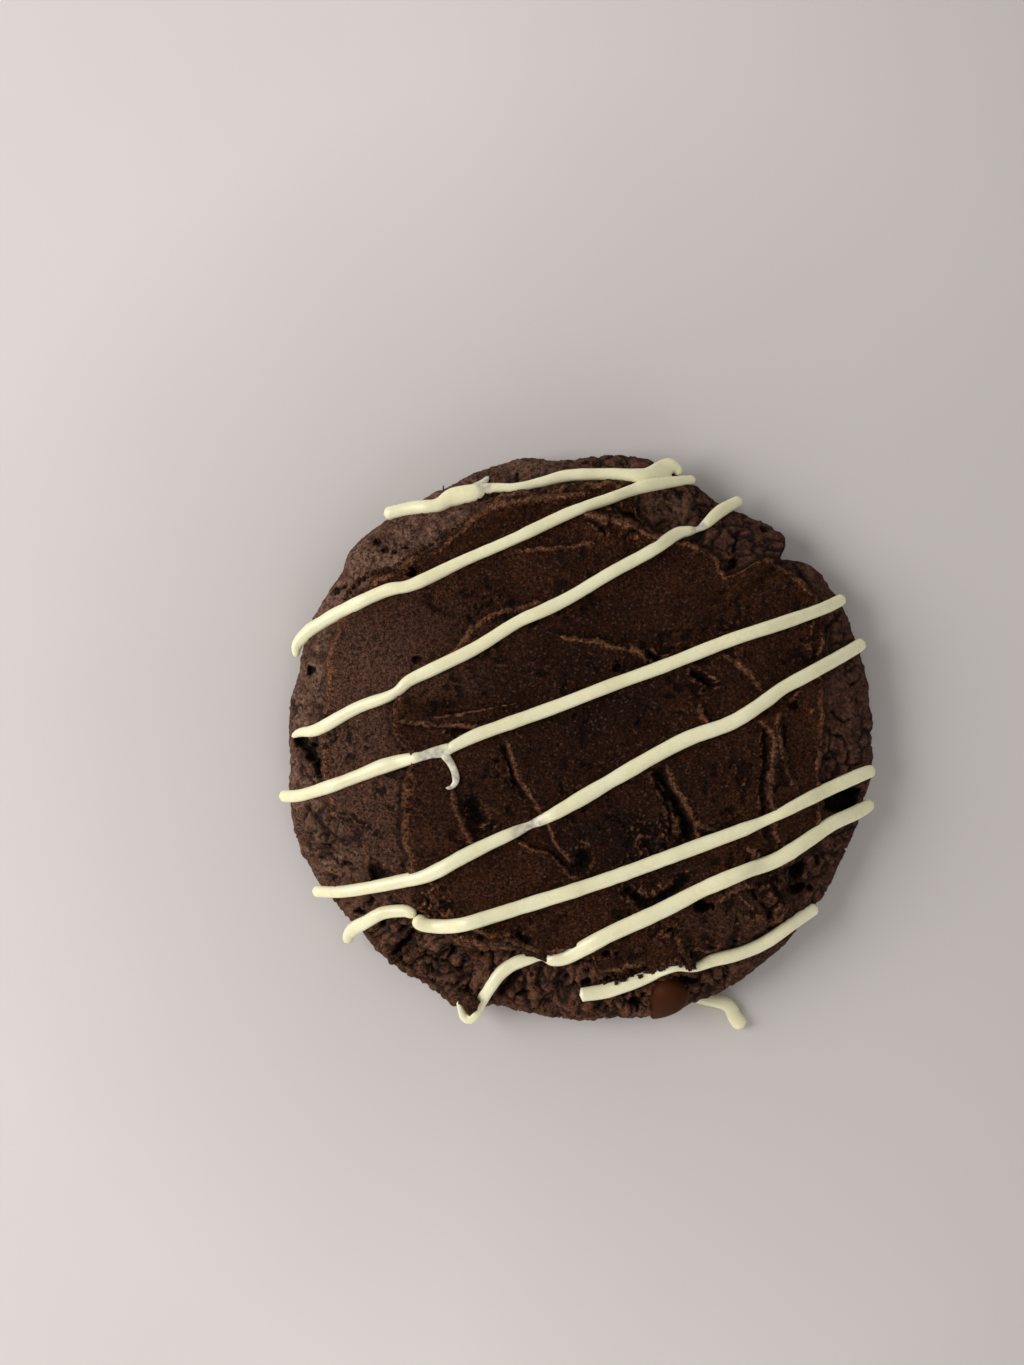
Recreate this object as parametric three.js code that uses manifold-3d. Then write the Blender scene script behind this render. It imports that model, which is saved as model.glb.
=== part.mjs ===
// Mud cake cookie: a thick dark cookie with a cracked, crumbly rim, spread with chocolate
// icing in knife strokes and crossed by thick strands of white chocolate.
// Millimetres, +Z up. The origin is on the table, under the middle of the cookie.
// Angles are in degrees, counter-clockwise from +X seen from above.
import * as THREE from 'three';
import { mergeVertices } from 'three/addons/utils/BufferGeometryUtils.js';
import Module from 'manifold-3d';

const wasm = await Module();
wasm.setup();

// ---- driving dimensions ----

const COOKIE_TOP = 12.8; // height of the baked cookie in its middle
const WIDEST_LEVEL = 4.2; // height at which the side bulges out furthest
const FOOT_SHARE = 0.93; // radius of the flat foot as a share of the outline's
const DOME_POWER = 2.6; // how square the shoulder of the dome is
const ICING_THICKNESS = 2.2;
const ICING_ROLL = 2.2; // how far in from its edge the icing is rounded down
const STRAND_HEIGHT = 1.25; // height of a white strand above what it lies on
const STRAND_ROOT = 0.7; // depth by which a strand sinks into what it lies on
const NODE_GAP = 0.36; // clear space between the cookie and the icing
const ICING_LEAST = 0.3; // what is left of the icing's thickness where it is rolled to nothing
const SETTLE_REACH = 4; // distance from the icing's edge over which its relief grows in
const ICING_BUMP = 0.12; // height of the icing's gentle unevenness
const ICING_BUMP_SIZE = 4;
const LEDGE_SLOPE = 0.9; // half of the width over which a ledge steps up
const LEDGE_FADE = 5; // distance past its end over which a ledge dies out
const RIM_CRAG = 1.05; // height of the crags on the rim and side
const CRAG_SIZE = 5; // distance from one crag to the next
const COARSE_CRAG = 0.7; // shares of the crags that are large and half as large
const FINE_CRAG = 0.45;
const NEAR_CRAG = 0.35; // how much more the rim is torn on its -Y side
const BARE_EDGE = 1.5; // half of the band over which the crags grow past the icing's edge

const COOKIE_FACETS = 96; // facets round the cookie
const ICING_FACETS = 80; // facets round the icing
const STRAND_STEP = 3; // distance between the sections of a strand
const SEED = 4021;

// The outline of the cookie: [angle, radius], with a chipped edge at 41 degrees.
const OUTLINE = [
  [0, 44.9], [20, 45.0], [34, 44.7], [38, 43.8], [41, 42.0], [44, 43.5], [58, 42.2], [70, 43.2],
  [80, 44.1], [92, 43.0], [100, 43.8], [120, 43.9], [140, 45.5], [147, 44.9], [168, 44.9],
  [180, 44.7], [200, 46.4], [220, 45.5], [229, 45.5], [240, 45.0], [248, 45.7], [252, 43.3],
  [260, 43.2], [280, 43.8], [300, 44.8], [320, 44.5], [340, 44.7],
];

// The edge of the icing: [angle, radius], with the notch at 48 degrees.
const ICING_EDGE = [
  [0, 36.8], [10, 37.4], [19, 38.5], [25, 41.2], [30, 42.2], [38, 41.2], [44, 39.6],
  [48, 33.8], [53, 34.4], [62, 34.2], [70, 33.2], [76, 35.2], [80, 39.0], [90, 39.2],
  [99, 38.4], [110, 39.0], [120, 36.9], [131, 37.4], [142, 39.5], [148, 40.9], [161, 41.0],
  [171, 39.4], [180, 40.0], [195, 40.0], [206, 37.6], [213, 39.4], [225, 36.6], [242, 36.2],
  [248, 33.9], [260, 33.2], [271, 32.2], [275, 35.7], [286, 36.2], [294, 38.3], [298, 36.8],
  [304, 38.8], [313, 40.5], [320, 41.2], [327, 37.1], [339, 38.6], [350, 36.8],
];

// Ledges and folds that the knife left in the icing. Each steps up to the left of its
// path by rise, and the high side sinks back over reach.
const LEDGES = [
  { rise: 1.4, reach: 11, path: [[-27, 6.3], [-27.6, 1.5], [-26, -4], [-26.8, -12], [-26.2, -20]] },
  { rise: 1.1, reach: 6, path: [[-16.2, -15.2], [-18.3, -11.5], [-19.4, -7.5]] },
  { rise: 1.1, reach: 9, path: [[-11.7, 0.5], [-9.6, -6], [-6, -11.3], [-1.8, -18.3]] },
  { rise: 1.1, reach: 7, path: [[-0.2, -20.7], [-3.5, -18.5], [-10, -14.8]] },
  { rise: 1.2, reach: 7, path: [[11.8, -4.5], [15, -9.6], [16.6, -12.4], [20.4, -13.7]] },
  { rise: 1.2, reach: 8, path: [[26.2, 2.8], [28.3, 0.4], [27.8, -6], [29.1, -15.6]] },
  { rise: 0.9, reach: 6, path: [[19.5, 14], [23, 11.2], [26.9, 7.3]] },
  { rise: 0.9, reach: 7, path: [[9.1, 11.6], [4.2, 14.2], [-3.9, 15.5]] },
  { rise: 0.8, reach: 6, path: [[-6, 20.7], [-15.3, 17.7], [-23.3, 11]] },
  { rise: 0.8, reach: 5, path: [[5, 29.9], [-2, 29.3], [-10.2, 28.2]] },
  { rise: 0.9, reach: 5, path: [[15, 28.5], [8, 32.1], [0.3, 33.7]] },
  { rise: 0.9, reach: 5, path: [[-17.5, -27.5], [-12.1, -29.4], [-6.9, -31.5]] },
];

// Grooves between strokes, where the icing is thin: a path, a width and a depth.
const GROOVES = [
  { width: 2.0, depth: 1.0, path: [[11, -4.3], [13.6, -9], [15.8, -15.2]] },
  { width: 2.6, depth: 0.8, path: [[6, -22.3], [10.8, -24.4], [15.9, -20.3]] },
  { width: 2.4, depth: 0.9, path: [[-0.2, -19.2], [-0.2, -16.2]] },
  { width: 2.2, depth: 0.8, path: [[-15.5, -12], [-17.2, -9]] },
  { width: 1.8, depth: 0.8, path: [[15.9, 10.2], [19.4, 7.6]] },
  { width: 2.2, depth: 0.9, path: [[-31, -18.5], [-30.6, -21.6]] },
  { width: 1.8, depth: 0.7, path: [[29.8, 4.2], [30.2, -2], [32.5, -8]] },
];

// White strands as [x, y, width] along their middles, from the upper edge downwards.
const STRANDS = [
  [[-30.4, 34.4, 1.6], [-25.9, 35.3, 2.0], [-22.1, 35.6, 2.2], [-19.8, 36.8, 2.8], [-16.2, 37.5, 2.7],
    [-13.4, 38.2, 1.6], [-10, 38.2, 1.5], [-6, 39.1, 1.6], [-1.9, 40.1, 1.8], [4, 40.3, 1.8],
    [7.5, 40.1, 1.9], [10, 39.9, 2.6], [12.3, 40.9, 3.2], [14, 41.7, 2.6], [15.4, 40.9, 1.3]],
  [[17.7, 39.8, 1.3], [14.9, 39.4, 1.5], [10.4, 38.6, 1.6], [4.1, 36.3, 1.7], [-1.9, 34.1, 1.8],
    [-10.1, 30.2, 1.8], [-18, 26.8, 1.8], [-23.6, 24.1, 1.9], [-26.4, 23, 1.9], [-29.9, 22.3, 2.0],
    [-36.9, 19.2, 2.1], [-41.7, 16.5, 1.9], [-43.8, 14.4, 1.5], [-44.6, 12.2, 0.9]],
  [[24.9, 36.9, 1.5], [21.3, 34.8, 1.9], [17.5, 31.8, 1.0], [14.1, 30.9, 1.9], [10.1, 28.2, 1.9],
    [4.1, 24.9, 1.9], [-1.9, 21.3, 1.9], [-9.9, 17.5, 1.9], [-16, 13.7, 2.0], [-22.1, 10.7, 2.0],
    [-28.1, 6.9, 1.7], [-34, 4.7, 1.9], [-40, 1.5, 1.9], [-44.6, 0.2, 0.9]],
  [[40.7, 21.6, 1.5], [36.7, 19.8, 1.9], [30, 17.5, 2.0], [22, 14.9, 2.0], [12, 11, 2.0], [4, 8.1, 2.0],
    [-4, 5, 2.0], [-12, 2.15, 2.0], [-18, -0.2, 1.9], [-22, -2.1, 1.3], [-26, -2.85, 1.8], [-30, -4, 2.2],
    [-36, -6.25, 2.0], [-41.9, -8.5, 1.9], [-46.8, -9.1, 1.4]],
  [[43.8, 14.8, 1.6], [40, 12.8, 2.1], [34, 9.75, 2.2], [28, 6.35, 2.2], [22, 2.55, 2.2],
    [14, -0.45, 2.2], [6, -4.95, 2.2], [-2, -9.6, 2.1], [-8, -12.7, 1.3], [-14, -15.4, 2.0],
    [-22, -19.6, 2.2], [-28, -21.5, 2.0], [-36, -23.3, 1.9], [-41.5, -23.7, 1.6]],
  [[45.2, -4.7, 1.6], [42, -5.8, 2.1], [34, -9, 2.0], [28, -11.8, 1.7], [22, -14.3, 2.1],
    [14, -17, 2.2], [4, -20.65, 2.2], [-6, -23.9, 2.2], [-16, -27, 2.1], [-22, -28.2, 2.1],
    [-25.6, -27.1, 1.5], [-28.6, -26.3, 2.0], [-32.2, -27.5, 2.0], [-35.2, -29.8, 1.9], [-36, -32, 1.2]],
  [[45.2, -10, 1.6], [42, -11.4, 2.2], [36, -14.2, 2.3], [28, -18.6, 2.3], [20, -21.4, 2.3],
    [12, -25.4, 2.4], [4, -29.1, 2.4], [-1, -32.1, 2.3], [-4.6, -33.3, 1.7], [-6.2, -33.1, 1.0],
    [-10, -33.9, 2.0], [-13.5, -37.1, 2.0], [-15.4, -40.2, 1.8], [-16.9, -43.2, 1.6], [-18.9, -40.8, 1.0]],
  [[36.4, -25.9, 1.5], [32.3, -28.3, 2.0], [28, -31.1, 2.1], [22, -33.4, 2.1], [16, -34.7, 1.4],
    [13, -34.6, 1.5], [9, -36.5, 2.1], [4, -38.3, 2.2], [-0.6, -38.9, 2.2]],
  [[-20.3, -2.4, 1.0], [-19, -5, 0.9], [-18.9, -6.3, 0.8], [-20.2, -7.4, 0.7]],
];

// A piece of strand that fell beside the cookie and sticks to its foot.
const FALLEN_STRAND = [
  [12.6, -38.6, 1.7], [15.8, -40.4, 1.7], [20.3, -41.0, 1.9], [23.2, -42.1, 2.1], [25.5, -45.4, 1.9],
];
const FALLEN_LEVEL = 1.0; // height of its middle above the table

// Pits and gashes in the rim: [x, y, length, width, depth, turn].
const PITS = [
  [-42.7, -0.9, 3.4, 2.0, 2.2, 50], [-40.2, -3.6, 3.4, 1.8, 1.6, 60], [-31, 29.6, 2.6, 1.8, 1.6, 140],
  [-37.4, 22.6, 4.2, 1.8, 1.4, 15], [-27.6, -31.6, 3.8, 1.6, 1.8, 40], [-19.8, -32.6, 3.0, 1.4, 1.4, 125],
  [-11.6, -37.6, 5.2, 1.7, 1.8, 58], [0.6, -36.2, 2.6, 2.2, 1.8, 20], [8.3, -40.2, 2.8, 2.6, 2.2, 0],
  [16.5, -37.3, 5.0, 2.4, 2.2, -12], [32.3, -19.4, 3.6, 1.9, 2.0, 75], [32.6, -22.9, 2.6, 2.0, 1.8, 40],
  [18, -32.4, 3.2, 1.6, 1.6, 8], [38.6, 18.6, 4.0, 1.3, 1.4, 50], [23.4, 30.2, 4.6, 1.3, 1.4, 70],
  [28.3, 32.3, 2.2, 1.6, 1.4, 0], [-33.4, -26.4, 2.6, 1.5, 1.4, 10], [39, 0.9, 3.6, 1.3, 1.3, -22],
];

// The broken-out block at the right of the rim, as a box.
const BLOCK_NOTCH = { x: 39.7, y: -9.3, length: 5.6, width: 4.4, depth: 3.6, turn: -14 };

// A whole chocolate chip baked into the side, its point outwards and down. It is length long
// and leans out of the upright by lean towards turn.
const CHIP = { x: 12.8, y: -40.4, z: 6.5, length: 8.4, width: 6.0, depth: 4.8, turn: -119, lean: -53 };

// ---- helpers ----

const rad = THREE.MathUtils.degToRad;
const smooth = THREE.MathUtils.smoothstep;

function lattice(i, j, k) {
  let h = Math.imul(i, 0x1f123bb5) ^ Math.imul(j, 0x5f356495) ^ Math.imul(k, 0x2c1b3c6d) ^ SEED;
  h = Math.imul(h ^ (h >>> 15), 0x45d9f3b5);
  h ^= h >>> 13;
  return (h >>> 0) / 2 ** 31 - 1;
}

// Smooth random bumps between -1 and 1, about one to each unit of length.
function bumps(x, y, z) {
  const [i, j, k] = [x, y, z].map(Math.floor);
  const [u, v, w] = [x - i, y - j, z - k].map((f) => f * f * (3 - 2 * f));
  const { lerp } = THREE.MathUtils;
  const row = (dj, dk) => lerp(lattice(i, j + dj, k + dk), lattice(i + 1, j + dj, k + dk), u);
  return lerp(lerp(row(0, 0), row(1, 0), v), lerp(row(0, 1), row(1, 1), v), w);
}

// A smooth closed curve of radius over angle through [angle, radius] points.
function radiusAt(points, angle) {
  const count = points.length;
  const at = (i) => {
    const lap = Math.floor(i / count);
    const [a, r] = points[i - lap * count];
    return [a + 360 * lap, r];
  };
  const turn = THREE.MathUtils.euclideanModulo(angle, 360);
  let i = points.findLastIndex(([a]) => a <= turn);
  const [p, q, r, s] = [at(i - 1), at(i), at(i + 1), at(i + 2)];
  const span = r[0] - q[0];
  const t = (turn - q[0]) / span;
  const start = (r[1] - p[1]) / (r[0] - p[0]) * span;
  const end = (s[1] - q[1]) / (s[0] - q[0]) * span;
  return (2 * t ** 3 - 3 * t ** 2 + 1) * q[1] + (t ** 3 - 2 * t ** 2 + t) * start
    + (3 * t ** 2 - 2 * t ** 3) * r[1] + (t ** 3 - t ** 2) * end;
}

const anglesRound = (count) => Array.from({ length: count }, (_, i) => i * 360 / count);
const angleOf = (x, y) => THREE.MathUtils.radToDeg(Math.atan2(y, x));

// Distance from (x, y) to a path of points, positive on its left, and the share of the
// path's ends that fades out there.
function pathOffset(path, x, y) {
  let best = { distance: Infinity, side: 1, past: 0 };
  for (let i = 0; i + 1 < path.length; i += 1) {
    const [ax, ay] = path[i];
    const [dx, dy] = [path[i + 1][0] - ax, path[i + 1][1] - ay];
    const along = ((x - ax) * dx + (y - ay) * dy) / (dx * dx + dy * dy);
    const t = THREE.MathUtils.clamp(along, 0, 1);
    const distance = Math.hypot(x - ax - t * dx, y - ay - t * dy);
    if (distance < best.distance) {
      const first = i === 0 && along < 0;
      const last = i + 2 === path.length && along > 1;
      const past = first || last ? Math.abs(along - t) * Math.hypot(dx, dy) : 0;
      best = { distance, side: Math.sign(dx * (y - ay) - dy * (x - ax)) || 1, past };
    }
  }
  return best;
}

function toManifold(positions, triangles) {
  const vertProperties = new Float32Array(positions);
  const triVerts = new Uint32Array(triangles);
  return new wasm.Manifold(new wasm.Mesh({ numProp: 3, vertProperties, triVerts }));
}

function geometryToManifold(geometry) {
  geometry.deleteAttribute('normal');
  geometry.deleteAttribute('uv');
  const merged = mergeVertices(geometry);
  return toManifold(merged.attributes.position.array, merged.index.array);
}

function toGeometry(manifold) {
  const mesh = manifold.getMesh();
  const geometry = new THREE.BufferGeometry();
  geometry.setAttribute('position', new THREE.BufferAttribute(mesh.vertProperties, 3));
  geometry.setIndex(new THREE.BufferAttribute(mesh.triVerts, 1));
  geometry.computeVertexNormals();
  return geometry;
}

// A closed solid through rings of points, with a fan to a single point at each end.
function ringSolid(startPole, rings, endPole) {
  const count = rings[0].length;
  const positions = [startPole, ...rings.flat(), endPole].flatMap((p) => p.toArray());
  const last = 1 + rings.length * count;
  const triangles = [];
  const vertex = (ring, j) => 1 + ring * count + (j % count);
  for (let j = 0; j < count; j += 1) {
    triangles.push(0, vertex(0, j + 1), vertex(0, j));
    triangles.push(vertex(rings.length - 1, j), vertex(rings.length - 1, j + 1), last);
  }
  for (let ring = 0; ring + 1 < rings.length; ring += 1) {
    for (let j = 0; j < count; j += 1) {
      const [a, b] = [vertex(ring, j), vertex(ring, j + 1)];
      const [c, d] = [vertex(ring + 1, j + 1), vertex(ring + 1, j)];
      triangles.push(a, b, c, a, c, d);
    }
  }
  return toManifold(positions, triangles);
}

// ---- the cookie ----

// The dome without its crags: a height for each share of the outline's radius.
function domeHeight(share) {
  const rise = Math.sqrt(Math.max(0, 1 - share ** DOME_POWER));
  return WIDEST_LEVEL + (COOKIE_TOP - WIDEST_LEVEL) * rise;
}

function cookieTopAt(x, y) {
  return domeHeight(Math.hypot(x, y) / radiusAt(OUTLINE, angleOf(x, y)));
}

// Crags stand on the side and the bare rim, and die out where the icing covers the top.
function cragAt(x, y, z, shareDown) {
  const edge = radiusAt(ICING_EDGE, angleOf(x, y));
  const bare = smooth(Math.hypot(x, y), edge - BARE_EDGE, edge + BARE_EDGE);
  const craggier = 0.8 + NEAR_CRAG * smooth(-y, 5, 30);
  const coarse = bumps(x / CRAG_SIZE, y / CRAG_SIZE, z / CRAG_SIZE);
  const fine = bumps(x / (CRAG_SIZE / 2), y / (CRAG_SIZE / 2), z / (CRAG_SIZE / 2));
  return RIM_CRAG * craggier * bare * shareDown * (COARSE_CRAG * coarse + FINE_CRAG * fine);
}

const FOOT_RISE = 0.25; // height of the rounding of the foot above the table
const FOOT_TILT = 40; // how far the crags of the lower side lean down
const FOOT_CALM = 0.3; // share of the crags that is left at the foot
const TILT_EASE = 0.8;
const LOWER_TURNS = [4, 30, 60]; // degrees round the quarter from the foot to the widest level
const UPPER_SHARES = [1, 0.99, 0.965, 0.93, 0.885, 0.83, 0.77, 0.6, 0.36];

// The whole cookie as one closed skin. A skin moved out by grow cuts the icing's underside.
function cookieSolid(grow) {
  const angles = anglesRound(COOKIE_FACETS);
  const place = (angle, radius, z, tilt, craggy) => {
    const [c, s] = [Math.cos(rad(angle)), Math.sin(rad(angle))];
    const out = grow + cragAt(radius * c, radius * s, z, craggy);
    const reach = radius + out * Math.cos(tilt);
    return new THREE.Vector3(reach * c, reach * s, z + out * Math.sin(tilt));
  };
  const foot = angles.map((angle) => {
    const radius = FOOT_SHARE * radiusAt(OUTLINE, angle) + grow;
    return new THREE.Vector3(radius * Math.cos(rad(angle)), radius * Math.sin(rad(angle)), -grow);
  });
  const lower = LOWER_TURNS.map((turn) => angles.map((angle) => {
    const outline = radiusAt(OUTLINE, angle);
    const radius = outline * (FOOT_SHARE + (1 - FOOT_SHARE) * Math.sin(rad(turn)));
    const z = FOOT_RISE + (WIDEST_LEVEL - FOOT_RISE) * (1 - Math.cos(rad(turn)));
    const craggy = Math.min(1, FOOT_CALM + turn / 60);
    return place(angle, radius, z, -rad(FOOT_TILT) * Math.cos(rad(turn)), craggy);
  }));
  const upper = UPPER_SHARES.map((share) => angles.map((angle) => {
    const tilt = Math.PI / 2 * Math.sqrt(1 - share ** DOME_POWER) ** TILT_EASE;
    return place(angle, share * radiusAt(OUTLINE, angle), domeHeight(share), tilt, 1);
  }));
  const top = new THREE.Vector3(0, 0, COOKIE_TOP + grow);
  return ringSolid(new THREE.Vector3(0, 0, -grow), [foot, ...lower, ...upper], top);
}

// A low-sided lump: a coarse one scoops an angular pit, and a finer one is the chip.
function lump(detail, length, width, height, turn, lean, x, y, z) {
  const geometry = new THREE.IcosahedronGeometry(0.5, detail);
  const place = new THREE.Object3D();
  place.position.set(x, y, z);
  place.rotation.set(0, rad(lean), rad(turn), 'ZYX');
  place.scale.set(length, width, height);
  place.updateMatrix();
  return geometryToManifold(geometry.applyMatrix4(place.matrix));
}

const PIT_OVERSIZE = 1.1; // a scoop is this much larger than the pit, as its corners are cut off

function pitCutter([x, y, length, width, depth, turn]) {
  const [long, wide, deep] = [length, width, 2 * depth].map((size) => PIT_OVERSIZE * size);
  return lump(0, long, wide, deep, turn, 0, x, y, cookieTopAt(x, y) + 0.1 * depth);
}

const BLOCK_LIFT = 0.4; // the middle of the block's box above the skin

function blockCutter({ x, y, length, width, depth, turn }) {
  const geometry = new THREE.BoxGeometry(length, width, 2 * depth);
  geometry.rotateZ(rad(turn));
  geometry.translate(x, y, cookieTopAt(x, y) + BLOCK_LIFT);
  return geometryToManifold(geometry);
}

// ---- the icing ----

function icingReliefAt(x, y) {
  let relief = ICING_BUMP * bumps(x / ICING_BUMP_SIZE, y / ICING_BUMP_SIZE, 0.5);
  for (const { rise, reach, path } of LEDGES) {
    const { distance, side, past } = pathOffset(path, x, y);
    const signed = distance * side;
    const fade = 1 - smooth(past, 0, LEDGE_FADE);
    const step = smooth(signed, -LEDGE_SLOPE, LEDGE_SLOPE);
    relief += rise * fade * step * Math.exp(-Math.max(0, signed) / reach);
  }
  for (const { width, depth, path } of GROOVES) {
    const { distance } = pathOffset(path, x, y);
    relief -= depth * Math.exp(-((distance / (0.5 * width)) ** 2));
  }
  return relief;
}

function icingTopAt(x, y) {
  const inset = radiusAt(ICING_EDGE, angleOf(x, y)) - Math.hypot(x, y);
  const rolled = Math.sqrt(1 - (1 - THREE.MathUtils.clamp(inset / ICING_ROLL, 0, 1)) ** 2);
  const thickness = ICING_LEAST + rolled * (ICING_THICKNESS - ICING_LEAST);
  return cookieTopAt(x, y) + thickness + smooth(inset, 0, SETTLE_REACH) * icingReliefAt(x, y);
}

const EDGE_INSETS = [0, 0.35, 1.1, ICING_ROLL]; // rings across the rounded edge
const EDGE_LIFT = 0.2; // the outermost ring stands this much higher, so that the edge is blunt
const HEM_INSET = 0.4;
const HEM_DEPTH = 2.8; // how far the skin is carried down into the cookie before the cut
const INNER_RINGS = 11;

function icingSheet() {
  const angles = anglesRound(ICING_FACETS);
  const at = (angle, radius, lift) => {
    const [x, y] = [radius * Math.cos(rad(angle)), radius * Math.sin(rad(angle))];
    return new THREE.Vector3(x, y, icingTopAt(x, y) + lift);
  };
  const hem = angles.map((angle) => at(angle, radiusAt(ICING_EDGE, angle) - HEM_INSET, -HEM_DEPTH));
  const roll = EDGE_INSETS.map((inset, i) => {
    const lift = i === 0 ? EDGE_LIFT : 0;
    return angles.map((angle) => at(angle, radiusAt(ICING_EDGE, angle) - inset, lift));
  });
  const inner = Array.from({ length: INNER_RINGS }, (_, i) => {
    const share = 1 - (i + 1) / (INNER_RINGS + 1);
    return angles.map((angle) => at(angle, share * (radiusAt(ICING_EDGE, angle) - ICING_ROLL), 0));
  });
  const middle = new THREE.Vector3(0, 0, icingTopAt(0, 0));
  return ringSolid(new THREE.Vector3(0, 0, WIDEST_LEVEL), [hem, ...roll, ...inner], middle);
}

// ---- the white strands ----

const SAG_START = 0.965; // share of the outline's radius past which a strand end sags
const SAG_SLOPE = 0.9;

// What a strand lies on: the icing, or past its edge the bare rim.
function deckAt(x, y) {
  const radius = Math.hypot(x, y);
  const outline = radiusAt(OUTLINE, angleOf(x, y));
  const kept = Math.min(1, SAG_START * outline / radius);
  const [px, py] = [x * kept, y * kept];
  const bare = radius > radiusAt(ICING_EDGE, angleOf(x, y));
  const level = bare ? cookieTopAt(px, py) + NODE_GAP : icingTopAt(px, py);
  return level - SAG_SLOPE * Math.max(0, radius - SAG_START * outline);
}

// The section of a strand: [share of the width, share of the height], from root to root.
const SECTION = [[0.44, 0], [0.5, 0.45], [0.27, 0.93], [-0.27, 0.93], [-0.5, 0.45], [-0.44, 0]];
const END_WIDTH = 0.7; // shares of the width and the height that a strand has at its ends
const END_HEIGHT = 0.85;
const END_CAP = 0.3; // how far the point of an end stands out
const TALLEST_SHARE = 1.1; // a wide strand is at most this much taller than STRAND_HEIGHT

// A strand swept along a path of [x, y, width], lying on the level levelAt(x, y).
function strand(path, levelAt) {
  const curve = new THREE.CatmullRomCurve3(path.map(([x, y, w]) => new THREE.Vector3(x, y, w)));
  const steps = Math.ceil(curve.getLength() / STRAND_STEP);
  const samples = curve.getSpacedPoints(steps);
  const roots = samples.map(({ x, y }) => levelAt(x, y));
  const eased = roots.map((root, i) => {
    const [before, after] = [roots[Math.max(0, i - 1)], roots[Math.min(steps, i + 1)]];
    return 0.5 * root + 0.25 * (before + after);
  });
  const rings = samples.map(({ x, y, z: width }, i) => {
    const [p, q] = [samples[Math.max(0, i - 1)], samples[Math.min(steps, i + 1)]];
    const ahead = new THREE.Vector2(q.x - p.x, q.y - p.y).normalize();
    const [wide, high] = i === 0 || i === steps ? [END_WIDTH, END_HEIGHT] : [1, 1];
    const tall = STRAND_HEIGHT * Math.min(TALLEST_SHARE, 0.35 + 0.35 * width) + STRAND_ROOT;
    return SECTION.map(([across, up]) => new THREE.Vector3(
      x - ahead.y * across * width * wide,
      y + ahead.x * across * width * wide,
      eased[i] - STRAND_ROOT + tall * up * high,
    ));
  });
  const capOf = (ring, i, j) => {
    const middle = ring.reduce((sum, p) => sum.add(p), new THREE.Vector3()).divideScalar(ring.length);
    const away = new THREE.Vector3(samples[i].x - samples[j].x, samples[i].y - samples[j].y, 0);
    return middle.add(away.setLength(END_CAP));
  };
  return ringSolid(capOf(rings[0], 0, 1), rings, capOf(rings[steps], steps, steps - 1));
}

// ---- the nodes ----

function makeCookie() {
  let body = cookieSolid(0);
  for (const pit of PITS) {
    body = body.subtract(pitCutter(pit));
  }
  body = body.subtract(blockCutter(BLOCK_NOTCH));
  const { x, y, z, length, width, depth, turn, lean } = CHIP;
  body = body.add(lump(1, depth, width, length, turn, lean, x, y, z));
  return body.add(strand(FALLEN_STRAND, () => FALLEN_LEVEL - STRAND_HEIGHT / 2 + STRAND_ROOT));
}

function makeIcing() {
  let body = icingSheet();
  for (const path of STRANDS) {
    body = body.add(strand(path, deckAt));
  }
  return body.subtract(cookieSolid(NODE_GAP));
}

const cookieMaterial = new THREE.MeshStandardMaterial({
  color: new THREE.Color(0x4a332a), roughness: 0.85, metalness: 0,
});
const icingMaterial = new THREE.MeshStandardMaterial({
  color: new THREE.Color(0x2e1c15), roughness: 0.5, metalness: 0,
});

const cookie = new THREE.Mesh(toGeometry(makeCookie()), cookieMaterial);
cookie.name = 'cookie';

const icing = new THREE.Mesh(toGeometry(makeIcing()), icingMaterial);
icing.name = 'icing';

const mudCakeCookie = new THREE.Group();
mudCakeCookie.add(cookie, icing);

export default mudCakeCookie;
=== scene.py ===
"""A mud cake cookie: a dark baked cookie with a cracked rim, chocolate icing spread in knife
strokes, strands of white chocolate, one whole chip, a fallen piece of strand and crumbs.

Shapes are worked out in millimetres, and MM turns them into the frame's metres. Angles are in
degrees, counter-clockwise from +X seen from above. The origin is on the table, under the cookie.
"""

import math

import bpy
import numpy as np
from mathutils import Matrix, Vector
from mathutils.bvhtree import BVHTree


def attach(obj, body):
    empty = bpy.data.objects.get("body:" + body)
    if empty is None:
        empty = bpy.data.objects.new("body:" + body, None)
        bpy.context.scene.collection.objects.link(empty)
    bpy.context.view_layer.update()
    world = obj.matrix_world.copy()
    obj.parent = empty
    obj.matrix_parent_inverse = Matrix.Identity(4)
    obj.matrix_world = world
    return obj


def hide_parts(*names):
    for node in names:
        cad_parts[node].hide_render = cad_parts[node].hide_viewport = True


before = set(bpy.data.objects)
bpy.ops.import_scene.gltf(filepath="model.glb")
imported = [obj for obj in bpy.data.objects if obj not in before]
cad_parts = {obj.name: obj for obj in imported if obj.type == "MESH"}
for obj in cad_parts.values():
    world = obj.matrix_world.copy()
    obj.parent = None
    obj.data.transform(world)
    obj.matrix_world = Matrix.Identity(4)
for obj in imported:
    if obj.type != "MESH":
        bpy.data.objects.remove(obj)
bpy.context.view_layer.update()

MM = 0.001

# ---- driving dimensions ----

COOKIE_TOP = 12.8  # height of the baked cookie in its middle
WIDEST_LEVEL = 4.2  # height at which the side bulges out furthest
FOOT_SHARE = 0.93  # radius of the flat foot as a share of the outline's
DOME_POWER = 2.6  # how square the shoulder of the dome is
ICING_THICKNESS = 2.2
ICING_SINK = 0.5  # how far the icing reaches down into the cookie
STRAND_HEIGHT = 1.3  # height of a white strand above what it lies on

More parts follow.
